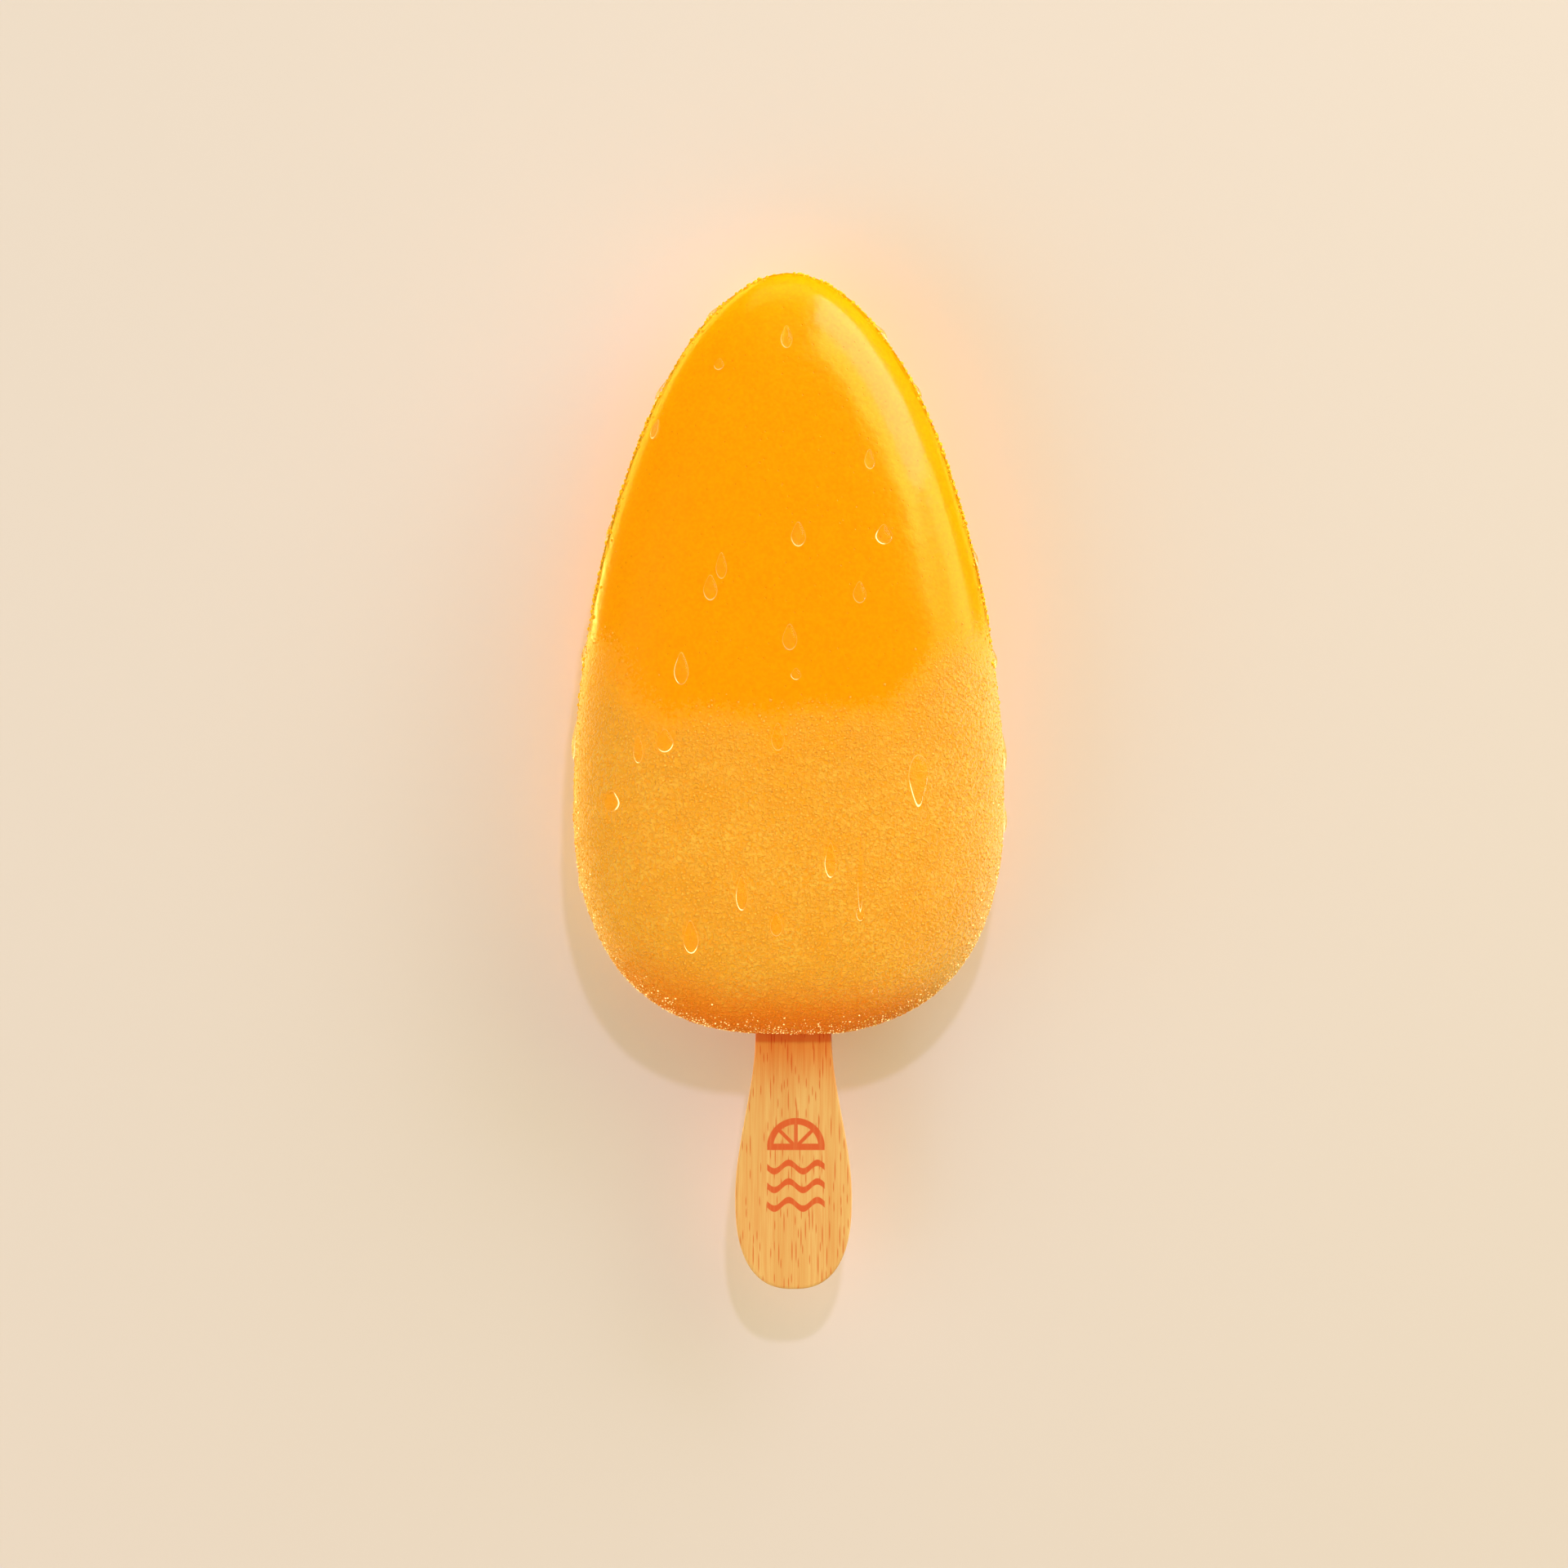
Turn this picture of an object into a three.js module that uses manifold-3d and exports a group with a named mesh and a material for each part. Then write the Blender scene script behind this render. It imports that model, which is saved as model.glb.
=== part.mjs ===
// A fruit ice pop on a flat beech stick, lying on its back. Millimetres, +Z up.
// The tip points to +Y and the handle to -Y. The origin is under the middle of the whole, on the
// surface that it lies on.
//
// The ice is a moulded egg shape: narrow and round at the tip, widest about two thirds of the way
// down and blunt at the stick. Drops of melt water stand on it and are one solid with it. The stick
// runs into the ice, and a slot of its own outline, a little larger, is cut for it.

import * as THREE from "three";
import { mergeVertices } from "three/addons/utils/BufferGeometryUtils.js";
import Module from "manifold-3d";

const wasm = await Module();
wasm.setup();

// Driving dimensions of the ice
const ICE_LENGTH = 98;
const ICE_WIDTH = 55.3;
const ICE_THICKNESS = 25;
const WIDEST_FROM_TIP = 67.3;
const REST_CUT = 0.4; // how much of the round back is flat where the ice lies on it

// The outline seen from the front, and the side profile, are each two superelliptic arcs that
// meet at the widest line: run is the exponent along the ice and rise the one across it.
const OUTLINE = {
  half: ICE_WIDTH / 2,
  tip: { run: 1.8, rise: 1.9 },
  base: { run: 2.45, rise: 2.6 },
};
const PROFILE = {
  half: ICE_THICKNESS / 2,
  tip: { run: 5, rise: 2 },
  base: { run: 4, rise: 2.2 },
};
const SECTION_POWER = 2.7; // 2 would be an ellipse, and more is a flatter face with fuller flanks

// Driving dimensions of the stick
const STICK_LENGTH = 93;
const STICK_SHOWN = 32.8;
const STICK_THICKNESS = 2;
const NECK_WIDTH = 9.8;
const HANDLE_WIDTH = 15;
const FLARE_LENGTH = 21;
const HANDLE_END_POWER = 2.5;
const STICK_EDGE = 0.3; // tumbled edge
const STICK_ASIDE = 0.6; // the stick stands this far to the right of the ice's centre line
const STICK_GAP = 0.3;

// How finely the curves are stepped
const RING_POINTS = 60;
const TIP_RINGS = 24;
const BASE_RINGS = 14;
const OUTLINE_STEPS = 14;
const EDGE_STEPS = 2;
const DROP_COLUMNS = 8;
const DROP_ROWS = 6;
const SAME_POINT = 1e-4; // corners closer than this are one corner
const SLOPE_STEP = 0.01; // the step over which the surface's slope is taken

// The drops on the front: [across from the centre line, down from the tip, width, length].
const FACE_DROPS = [
  [-0.3, 8.7, 1.6, 3.2],
  [-8.9, 12.2, 1.4, 1.6],
  [-17.1, 20.4, 1.5, 2.7],
  [10.3, 24.4, 1.5, 2.6],
  [1.2, 34.0, 2.0, 3.2],
  [12.1, 34.0, 2.4, 2.6],
  [-8.6, 38.0, 1.5, 3.4],
  [-10.0, 40.8, 1.9, 3.3],
  [9.0, 41.4, 1.8, 2.8],
  [0.1, 47.1, 2.0, 3.4],
  [0.9, 51.8, 1.4, 1.5],
  [-13.7, 51.1, 2.0, 4.2],
  [-15.8, 60.3, 2.4, 3.0],
  [-19.2, 61.4, 1.4, 3.6],
  [-22.6, 68.0, 2.5, 2.7],
  [-1.4, 59.8, 1.8, 3.6],
  [16.4, 64.4, 2.6, 3.8],
  [16.9, 67.4, 1.4, 3.8],
  [5.3, 75.5, 1.6, 4.6],
  [-6.0, 79.7, 1.6, 4.6],
  [9.1, 82.2, 1.1, 2.2],
  [-12.5, 85.3, 2.1, 4.4],
  [-1.6, 83.7, 1.7, 3.1],
  [11.0, 92.2, 1.0, 1.0],
];

// The drops that stand out of the outline: [side, down from the tip, width, length].
const RIM_DROPS = [
  [-1, 5.2, 1.6, 2.8],
  [1, 7.6, 1.8, 2.9],
  [-1, 15.3, 1.6, 3.4],
  [1, 15.1, 1.7, 2.8],
  [-1, 33.2, 1.4, 3.2],
  [1, 36.6, 1.5, 2.4],
  [-1, 49.0, 1.6, 2.9],
  [1, 49.6, 1.7, 2.6],
  [-1, 60.2, 1.9, 5.2],
  [1, 61.6, 1.9, 5.2],
  [1, 70.2, 1.7, 3.9],
  [-1, 78.6, 1.4, 2.6],
];
const DROP_HEIGHT = 0.3; // share of a drop's width that it stands out of the ice
const DROP_TAPER = 0.45; // how much narrower a drop is at its upper end
const TAPER_START = -0.4; // where it starts to narrow: -1 is its lower end and 1 its upper end

const OVERALL_LENGTH = ICE_LENGTH + STICK_SHOWN;
const REST_HEIGHT = ICE_THICKNESS / 2 - REST_CUT; // of the middle plane above the surface

// Half a width at a distance down from the tip.
function halfAt(curve, down) {
  const onTip = down < WIDEST_FROM_TIP;
  const { run, rise } = onTip ? curve.tip : curve.base;
  const away = onTip
    ? 1 - down / WIDEST_FROM_TIP
    : (down - WIDEST_FROM_TIP) / (ICE_LENGTH - WIDEST_FROM_TIP);
  const share = 1 - Math.pow(THREE.MathUtils.clamp(away, 0, 1), run);
  return curve.half * Math.pow(share, 1 / rise);
}

// A closed surface as a solid that can be joined and cut.
function solidOf(geometry) {
  const bare = geometry.clone();
  bare.deleteAttribute("normal");
  bare.deleteAttribute("uv");
  const merged = mergeVertices(bare, SAME_POINT);
  return new wasm.Manifold(
    new wasm.Mesh({
      numProp: 3,
      vertProperties: merged.attributes.position.array,
      triVerts: new Uint32Array(merged.index.array),
    }),
  );
}

function geometryOf(solid) {
  const mesh = solid.getMesh();
  const geometry = new THREE.BufferGeometry()
    .setAttribute("position", new THREE.BufferAttribute(mesh.vertProperties, 3))
    .setIndex(new THREE.BufferAttribute(mesh.triVerts, 1));
  geometry.computeVertexNormals();
  return geometry;
}

// The distances from the tip at which the ice is cut into rings, closer together at both ends.
function ringPlaces() {
  const places = [];
  for (let i = 1; i <= TIP_RINGS; i++) {
    const turn = ((i / TIP_RINGS) * Math.PI) / 2;
    places.push(WIDEST_FROM_TIP * (1 - Math.cos(turn)));
  }
  for (let i = 1; i < BASE_RINGS; i++) {
    const turn = ((i / BASE_RINGS) * Math.PI) / 2;
    places.push(WIDEST_FROM_TIP + (ICE_LENGTH - WIDEST_FROM_TIP) * Math.sin(turn));
  }
  return places;
}

// The plain egg, with its tip at the origin and its length down -Y.
function eggGeometry() {
  const places = ringPlaces();
  const points = [0, 0, 0];
  for (const down of places) {
    for (let k = 0; k < RING_POINTS; k++) {
      const angle = (k / RING_POINTS) * 2 * Math.PI;
      const [c, s] = [Math.cos(angle), Math.sin(angle)];
      const sum = Math.pow(Math.abs(c), SECTION_POWER) + Math.pow(Math.abs(s), SECTION_POWER);
      const reach = Math.pow(sum, -1 / SECTION_POWER);
      points.push(halfAt(OUTLINE, down) * reach * c, -down, halfAt(PROFILE, down) * reach * s);
    }
  }
  points.push(0, -ICE_LENGTH, 0);

  const faces = [];
  const at = (ring, k) => 1 + ring * RING_POINTS + (k % RING_POINTS);
  const last = points.length / 3 - 1;
  for (let k = 0; k < RING_POINTS; k++) {
    faces.push(0, at(0, k + 1), at(0, k));
    for (let ring = 1; ring < places.length; ring++) {
      faces.push(at(ring - 1, k), at(ring - 1, k + 1), at(ring, k));
      faces.push(at(ring - 1, k + 1), at(ring, k + 1), at(ring, k));
    }
    faces.push(last, at(places.length - 1, k), at(places.length - 1, k + 1));
  }
  return new THREE.BufferGeometry()
    .setAttribute("position", new THREE.Float32BufferAttribute(points, 3))
    .setIndex(faces);
}

// Grows outwards from the ice's surface, where it is 1.
function shell(x, down, z) {
  return (
    Math.pow(Math.abs(x) / halfAt(OUTLINE, down), SECTION_POWER) +
    Math.pow(Math.abs(z) / halfAt(PROFILE, down), SECTION_POWER)
  );
}

// The direction straight out of the ice at a point of its surface.
function outwardAt(x, down, z) {
  return new THREE.Vector3(
    shell(x + SLOPE_STEP, down, z) - shell(x - SLOPE_STEP, down, z),
    shell(x, down - SLOPE_STEP, z) - shell(x, down + SLOPE_STEP, z),
    shell(x, down, z + SLOPE_STEP) - shell(x, down, z - SLOPE_STEP),
  ).normalize();
}

// A drop on the surface, its full end towards the stick, where the water ran.
function dropGeometry(x, down, z, width, length) {
  const geometry = new THREE.SphereGeometry(1, DROP_COLUMNS, DROP_ROWS);
  const place = geometry.attributes.position;
  for (let i = 0; i < place.count; i++) {
    const upwards = THREE.MathUtils.smoothstep(place.getY(i), TAPER_START, 1);
    const narrowing = 1 - DROP_TAPER * upwards;
    place.setXYZ(
      i,
      (place.getX(i) * narrowing * width) / 2,
      (place.getY(i) * length) / 2,
      place.getZ(i) * narrowing * width * DROP_HEIGHT,
    );
  }
  const outward = outwardAt(x, down, z);
  const across = new THREE.Vector3(0, 1, 0).cross(outward).normalize();
  const along = outward.clone().cross(across);
  const frame = new THREE.Matrix4().makeBasis(across, along, outward);
  return geometry.applyMatrix4(frame.setPosition(x, -down, z));
}

// Every drop: those of the front, the same again on the back, and those on the rim.
function dropSolids() {
  const drops = [];
  for (const [x, down, width, length] of FACE_DROPS) {
    const across = Math.pow(Math.abs(x) / halfAt(OUTLINE, down), SECTION_POWER);
    const z = halfAt(PROFILE, down) * Math.pow(1 - across, 1 / SECTION_POWER);
    drops.push(dropGeometry(x, down, z, width, length));
    drops.push(dropGeometry(x, down, -z, width, length));
  }
  for (const [side, down, width, length] of RIM_DROPS) {
    drops.push(dropGeometry(side * halfAt(OUTLINE, down), down, 0, width, length));
  }
  return drops.map(solidOf);
}

// Half the stick's width at a distance down from where it leaves the ice.
function stickHalfAt(down) {
  const flare = THREE.MathUtils.smoothstep(down, 0, FLARE_LENGTH);
  const half = THREE.MathUtils.lerp(NECK_WIDTH, HANDLE_WIDTH, flare) / 2;
  if (down <= FLARE_LENGTH) return half;
  const away = (down - FLARE_LENGTH) / (STICK_SHOWN - FLARE_LENGTH);
  return half * Math.pow(1 - Math.pow(away, HANDLE_END_POWER), 1 / HANDLE_END_POWER);
}

// The places down the handle where its outline gets a corner, closer together at the round end.
function handlePlaces() {
  const places = [];
  for (let i = 1; i < OUTLINE_STEPS; i++) {
    places.push((i / OUTLINE_STEPS) * FLARE_LENGTH);
  }
  for (let i = 0; i < OUTLINE_STEPS; i++) {
    const turn = ((i / OUTLINE_STEPS) * Math.PI) / 2;
    places.push(FLARE_LENGTH + (STICK_SHOWN - FLARE_LENGTH) * Math.sin(turn));
  }
  return places;
}

// The stick seen from the front, with the origin where it leaves the ice and the handle down -Y.
function stickShape() {
  const neck = NECK_WIDTH / 2;
  const insideEnd = STICK_LENGTH - STICK_SHOWN - neck;
  const places = handlePlaces();
  const shape = new THREE.Shape();
  shape.moveTo(neck, 0);
  shape.lineTo(neck, insideEnd);
  shape.absarc(0, insideEnd, neck, 0, Math.PI, false);
  shape.lineTo(-neck, 0);
  for (const down of places) shape.lineTo(-stickHalfAt(down), -down);
  shape.lineTo(0, -STICK_SHOWN);
  for (const down of places.reverse()) shape.lineTo(stickHalfAt(down), -down);
  return shape;
}

// The stick: its outline with a thickness and tumbled edges, the middle plane at z = 0.
function stickGeometry() {
  return new THREE.ExtrudeGeometry(stickShape(), {
    depth: STICK_THICKNESS - 2 * STICK_EDGE,
    curveSegments: OUTLINE_STEPS,
    bevelThickness: STICK_EDGE,
    bevelSize: STICK_EDGE,
    bevelOffset: -STICK_EDGE,
    bevelSegments: EDGE_STEPS,
  }).translate(0, 0, STICK_EDGE - STICK_THICKNESS / 2);
}

// The space that the buried part of the stick takes in the ice, in the ice's own place. It runs
// out past the end of the ice.
function slotGeometry() {
  const half = NECK_WIDTH / 2 + STICK_GAP;
  const depth = STICK_THICKNESS + 2 * STICK_GAP;
  const insideEnd = STICK_LENGTH - STICK_SHOWN - NECK_WIDTH / 2;
  const shape = new THREE.Shape();
  shape.moveTo(half, -STICK_SHOWN);
  shape.lineTo(half, insideEnd);
  shape.absarc(0, insideEnd, half, 0, Math.PI, false);
  shape.lineTo(-half, -STICK_SHOWN);
  return new THREE.ExtrudeGeometry(shape, {
    depth,
    curveSegments: OUTLINE_STEPS,
    bevelEnabled: false,
  }).translate(STICK_ASIDE, -ICE_LENGTH, -depth / 2);
}

// The ice: the egg with its drops, less the slot and less what is under the surface it lies on.
function iceGeometry() {
  const below = new THREE.BoxGeometry(2 * ICE_WIDTH, 2 * ICE_LENGTH, ICE_THICKNESS);
  below.translate(0, -ICE_LENGTH / 2, -REST_HEIGHT - ICE_THICKNESS / 2);
  const whole = dropSolids().reduce((sum, drop) => sum.add(drop), solidOf(eggGeometry()));
  return geometryOf(whole.subtract(solidOf(slotGeometry())).subtract(solidOf(below)));
}

const fruitIce = new THREE.MeshStandardMaterial({
  color: "#f9a40f",
  roughness: 0.35,
  metalness: 0,
});
const beech = new THREE.MeshStandardMaterial({
  color: "#e6a864",
  roughness: 0.6,
  metalness: 0,
});

const ice = new THREE.Mesh(iceGeometry(), fruitIce);
ice.name = "fruit_ice";
ice.position.set(0, OVERALL_LENGTH / 2, REST_HEIGHT);

const stick = new THREE.Mesh(stickGeometry(), beech);
stick.name = "stick";
stick.position.set(STICK_ASIDE, OVERALL_LENGTH / 2 - ICE_LENGTH, REST_HEIGHT);

const icePop = new THREE.Group();
icePop.name = "ice_pop";
icePop.add(ice, stick);

export default icePop;
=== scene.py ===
# %% [markdown]
# # A fruit ice pop on a beech stick
#
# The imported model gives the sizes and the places. This lesson dresses it: a moulded ice with a wet
# upper part and a frosted lower part, drops of melt water, grains of frost and a beech stick. Every
# piece is made in metres in the model's own frame, so nothing has to be fitted afterwards.

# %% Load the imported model
import math

import bmesh
import bpy
import numpy as np
from mathutils import Matrix, Vector


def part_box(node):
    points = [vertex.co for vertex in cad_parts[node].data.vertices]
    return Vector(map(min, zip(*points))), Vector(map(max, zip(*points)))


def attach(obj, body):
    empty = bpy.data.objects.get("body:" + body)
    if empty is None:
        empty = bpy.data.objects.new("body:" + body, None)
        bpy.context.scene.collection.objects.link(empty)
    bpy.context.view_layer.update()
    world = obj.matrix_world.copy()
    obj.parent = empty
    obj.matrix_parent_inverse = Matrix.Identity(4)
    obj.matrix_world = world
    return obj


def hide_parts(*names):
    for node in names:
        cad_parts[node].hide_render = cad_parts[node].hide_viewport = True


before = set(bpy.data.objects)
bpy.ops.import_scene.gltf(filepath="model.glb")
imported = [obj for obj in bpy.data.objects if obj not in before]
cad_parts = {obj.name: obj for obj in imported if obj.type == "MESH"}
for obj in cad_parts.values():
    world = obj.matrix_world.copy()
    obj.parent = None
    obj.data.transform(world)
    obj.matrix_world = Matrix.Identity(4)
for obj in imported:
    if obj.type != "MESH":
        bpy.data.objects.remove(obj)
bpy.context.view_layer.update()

print("nodes:", sorted(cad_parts))

# %% [markdown]
# ## The driving sizes
#
# The model's boxes say where the tip, the middle plane and the stick are. The curves of the ice
# can't be read off a box, so the few numbers that shape them are named here, in millimetres times
# `MM`. The ice is two superelliptic arcs along its length and a superellipse across it.

# %% Name the sizes
MM = 0.001

ice_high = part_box("fruit_ice")[1]
stick_low, stick_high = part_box("stick")
TIP_Y = ice_high.y
MIDDLE_Z = (stick_low.z + stick_high.z) / 2
STICK_X = (stick_low.x + stick_high.x) / 2
MERGE_DISTANCE = 0.001 * MM

ICE_LENGTH = 98 * MM
ICE_WIDTH = 55.3 * MM
ICE_THICKNESS = 25 * MM
WIDEST_FROM_TIP = 67.3 * MM
OUTLINE_TIP = (1.8, 1.9)  # exponent along the ice, exponent across it
OUTLINE_BASE = (2.45, 2.6)
PROFILE_TIP = (5.0, 2.0)
PROFILE_BASE = (4.0, 2.2)
SECTION_POWER = 2.7

print(f"tip at y {TIP_Y / MM:.1f} mm, middle plane at z {MIDDLE_Z / MM:.1f} mm")

# %% [markdown]
# ## Small helpers for node trees
#
# Geometry trees and shader trees are built in the same way: add a node, set its options, feed its
# sockets. `put` does that in one line. `maths`, `smooth`, `noise` and `axes_of` are the kinds of
# node that come back again and again.

# %% Helpers for nodes
def feed(tree, node, feeds):
    """Gives the node's sockets, by name or number, a value, a socket or a node."""
    for key, value in dict(feeds).items():
        if isinstance(value, bpy.types.Node):
            value = value.outputs[0]
        if isinstance(value, bpy.types.NodeSocket):
            tree.links.new(value, node.inputs[key])
        else:
            node.inputs[key].default_value = value


def put(tree, kind, feeds=(), **options):
    """Adds a node, sets its options and feeds its sockets."""
    node = tree.nodes.new(kind)
    for option, value in options.items():
        setattr(node, option, value)
    feed(tree, node, feeds)
    return node


def maths(tree, operation, *values):
    """A chain link of arithmetic: the result of one Math node."""
    return put(tree, "ShaderNodeMath", enumerate(values), operation=operation).outputs[0]


def smooth(tree, value, low, high, start=0.0, end=1.0):
    """Goes softly from start to end while the value goes from low to high."""
    feeds = {"Value": value, "From Min": low, "From Max": high, "To Min": start, "To Max": end}
    return put(tree, "ShaderNodeMapRange", feeds, interpolation_type="SMOOTHSTEP").outputs[0]


def noise(tree, place, size, detail=2.0, distortion=0.0):
    """Clouds of about the given size in metres, from 0 to 1."""
    feeds = {"Vector": place, "Scale": 1 / size, "Detail": detail, "Distortion": distortion}
    return put(tree, "ShaderNodeTexNoise", feeds).outputs[0]


def axes_of(tree, vector):
    """The sockets X, Y and Z of a vector."""
    return put(tree, "ShaderNodeSeparateXYZ", {0: vector}).outputs


# %% [markdown]
# A modifier runs a geometry tree. `grow` then keeps the result as a plain mesh and takes the
# modifier away, because the export wants real meshes. `read_attribute` and `write_attribute` carry
# one number for each point between a mesh and NumPy.

# %% Helpers for geometry
def named_value(tree, name, data_type="FLOAT"):
    """Reads an attribute of the geometry."""
    kind = "GeometryNodeInputNamedAttribute"
    return put(tree, kind, {"Name": name}, data_type=data_type).outputs["Attribute"]


def new_geometry_tree(name, inputs):
    """A geometry tree with the given named inputs: a float, a whole number, or a kind of socket."""
    tree = bpy.data.node_groups.new(name, "GeometryNodeTree")
    tree.interface.new_socket("Geometry", in_out="INPUT", socket_type="NodeSocketGeometry")
    tree.interface.new_socket("Geometry", in_out="OUTPUT", socket_type="NodeSocketGeometry")
    for label, value in inputs.items():
        kind = {float: "NodeSocketFloat", int: "NodeSocketInt"}.get(type(value), value)
        socket = tree.interface.new_socket(label, in_out="INPUT", socket_type=kind)
        if kind != value:
            socket.default_value = value
    return tree, tree.nodes.new("NodeGroupInput").outputs


def grow(carrier, tree, **values):
    """Runs the tree on the object, with inputs named in words joined by _, and keeps the result."""
    modifier = carrier.modifiers.new(tree.name, "NODES")
    modifier.node_group = tree
    for item in tree.interface.items_tree:
        label = item.name.lower().replace(" ", "_")
        if item.in_out == "INPUT" and label in values:
            modifier[item.identifier] = values[label]
    depsgraph = bpy.context.evaluated_depsgraph_get()
    shown = carrier.evaluated_get(depsgraph)
    mesh = bpy.data.meshes.new_from_object(
        shown, preserve_all_data_layers=True, depsgraph=depsgraph
    )
    carrier.modifiers.clear()
    carrier.data = mesh
    mesh.name = carrier.name
    print(f"{carrier.name}: {sum(len(p.vertices) - 2 for p in mesh.polygons)} triangles")
    return carrier


def new_object(name, mesh=None):
    """A mesh object in the scene, at the origin."""
    made = bpy.data.objects.new(name, mesh or bpy.data.meshes.new(name))
    bpy.context.scene.collection.objects.link(made)
    return made


def read_vectors(items, name):
    """Three numbers for each point of a mesh, one point in a row."""
    values = np.zeros(len(items) * 3, np.float32)
    items.foreach_get(name, values)
    return values.reshape(-1, 3)


def read_attribute(mesh, name):
    """One number for each point of a mesh."""
    values = np.zeros(len(mesh.vertices), np.float32)
    mesh.attributes[name].data.foreach_get("value", values)
    return values


def write_attribute(mesh, name, values):
    """Writes one number on each point of a mesh, over those that are there."""
    attribute = mesh.attributes.get(name) or mesh.attributes.new(name, "FLOAT", "POINT")
    attribute.data.foreach_set("value", np.array(values, np.float32))


# %% [markdown]
# ## The form of the ice
#
# The mould gives the ice a form that follows a rule, so Geometry Nodes make it: a flat grid is
# wrapped round, one way along the ice and the other way round its section, and its two edges are
# merged into one closed skin. An angle `turn` runs from the tip (0) to the stick (180 degrees). Its
# cosine is both the place along the ice and the base of the superellipse, so the rings crowd
# together at the two ends, where the curve is tight. The tip side gets more rings, as it is longer.
# Where the round back meets the surface it is flat, as on a pop that was laid down.

# %% Parts of the tree of the ice's form
def add_half(tree, size, along, run, rise):
    """Half a width where the ice is along (0 at the widest line, 1 at an end)."""
    share = maths(tree, "SUBTRACT", 1.0, maths(tree, "POWER", along, run))
    root = maths(tree, "DIVIDE", 1.0, rise)
    return maths(tree, "MULTIPLY", maths(tree, "DIVIDE", size, 2.0), maths(tree, "POWER", share, root))


def add_choice(tree, on_tip, tip, base):
    """The tip's value on the tip side and the base's value on the stick side."""
    return maths(tree, "MULTIPLY_ADD", on_tip, maths(tree, "SUBTRACT", tip, base), base)


def add_quarter_turn(tree, along, low, high):
    """Goes from 0 to a quarter turn while the place along the grid goes from low to high."""
    feeds = {"Value": along, "From Min": low, "From Max": high, "To Min": 0.0, "To Max": math.pi / 2}
    return put(tree, "ShaderNodeMapRange", feeds).outputs[0]


# %% Build and grow the ice
def build_ice_form():
    """Wraps a flat grid round into the closed form of the ice."""
    tree, given = new_geometry_tree(
        "ice form",
        {
            "Length": ICE_LENGTH,
            "Width": ICE_WIDTH,
            "Thickness": ICE_THICKNESS,
            "Widest From Tip": WIDEST_FROM_TIP,
            "Section Power": SECTION_POWER,
            "Points Around": 336,
            "Points Along": 293,
            "Share On Tip": 0.62,
            "Face Crowding": 0.7,
        },
    )
    grid_feeds = {
        "Size X": 1.0,
        "Size Y": 1.0,
        "Vertices X": given["Points Around"],
        "Vertices Y": given["Points Along"],
    }
    grid = put(tree, "GeometryNodeMeshGrid", grid_feeds)
    flat = axes_of(tree, put(tree, "GeometryNodeInputPosition"))
    around = maths(tree, "MULTIPLY_ADD", flat["X"], 2 * math.pi, math.pi)
    along = maths(tree, "ADD", flat["Y"], 0.5)

    share = given["Share On Tip"]
    tip_turn = add_quarter_turn(tree, along, 0.0, share)
    turn = maths(tree, "ADD", tip_turn, add_quarter_turn(tree, along, share, 1.0))
    on_tip = maths(tree, "LESS_THAN", along, share)

    cosine = maths(tree, "COSINE", turn)
    away = maths(tree, "ABSOLUTE", cosine)
    widest = given["Widest From Tip"]
    reach = add_choice(tree, on_tip, widest, maths(tree, "SUBTRACT", given["Length"], widest))
    down = maths(tree, "SUBTRACT", widest, maths(tree, "MULTIPLY", cosine, reach))
    halves = []
    for size, tip, base in (
        (given["Width"], OUTLINE_TIP, OUTLINE_BASE),
        (given["Thickness"], PROFILE_TIP, PROFILE_BASE),
    ):
        run = add_choice(tree, on_tip, tip[0], base[0])
        rise = add_choice(tree, on_tip, tip[1], base[1])
        halves.append(add_half(tree, size, away, run, rise))

    power = given["Section Power"]
    across = maths(tree, "MULTIPLY", maths(tree, "COSINE", around), given["Face Crowding"])
    upward = maths(tree, "SINE", around)
    total = maths(
        tree,
        "ADD",
        maths(tree, "POWER", maths(tree, "ABSOLUTE", across), power),
        maths(tree, "POWER", maths(tree, "ABSOLUTE", upward), power),
    )
    out = maths(tree, "POWER", total, maths(tree, "DIVIDE", -1.0, power))
    x = maths(tree, "MULTIPLY", maths(tree, "MULTIPLY", halves[0], out), across)
    z = maths(tree, "MULTIPLY", maths(tree, "MULTIPLY", halves[1], out), upward)
    place_feeds = {
        "X": x,
        "Y": maths(tree, "SUBTRACT", TIP_Y, down),
        "Z": maths(tree, "MAXIMUM", maths(tree, "ADD", z, MIDDLE_Z), 0.0),
    }
    place = put(tree, "ShaderNodeCombineXYZ", place_feeds)
    wrapped = put(tree, "GeometryNodeSetPosition", {"Geometry": grid, "Position": place})
    merge_feeds = {"Geometry": wrapped, "Distance": MERGE_DISTANCE}
    closed = put(tree, "GeometryNodeMergeByDistance", merge_feeds)
    rounded = put(tree, "GeometryNodeSetShadeSmooth", {"Geometry": closed})
    put(tree, "NodeGroupOutput", {0: rounded})
    return tree


ice = grow(new_object("moulded_ice"), build_ice_form())

# %% [markdown]
# ## Where the frost is
#
# The lower part of the ice has a skin of frost, and the upper part has melted to a wet gloss. The
# edge between them wavers, and climbs on the two flanks. A second tree writes this as a number from
# 0 to 1 on every point, an attribute named `frost`. The relief, the scattered grains and the
# material all read that one attribute, so they always agree.

# %% Write the frost attribute
FLANKS_MIDDLE = -1.7 * MM  # the frost climbs a little sooner on the right
CLIMB = (12.5 * MM, 24.5 * MM)  # out from the flanks' middle
LEFT_FLANK = (-10 * MM, -20 * MM)
RIGHT_FLANK = (8 * MM, 20 * MM)
THIN_FROST = 0.62  # at the line; the rest comes over the next millimetres
THICKENS_OVER = 18 * MM


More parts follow.
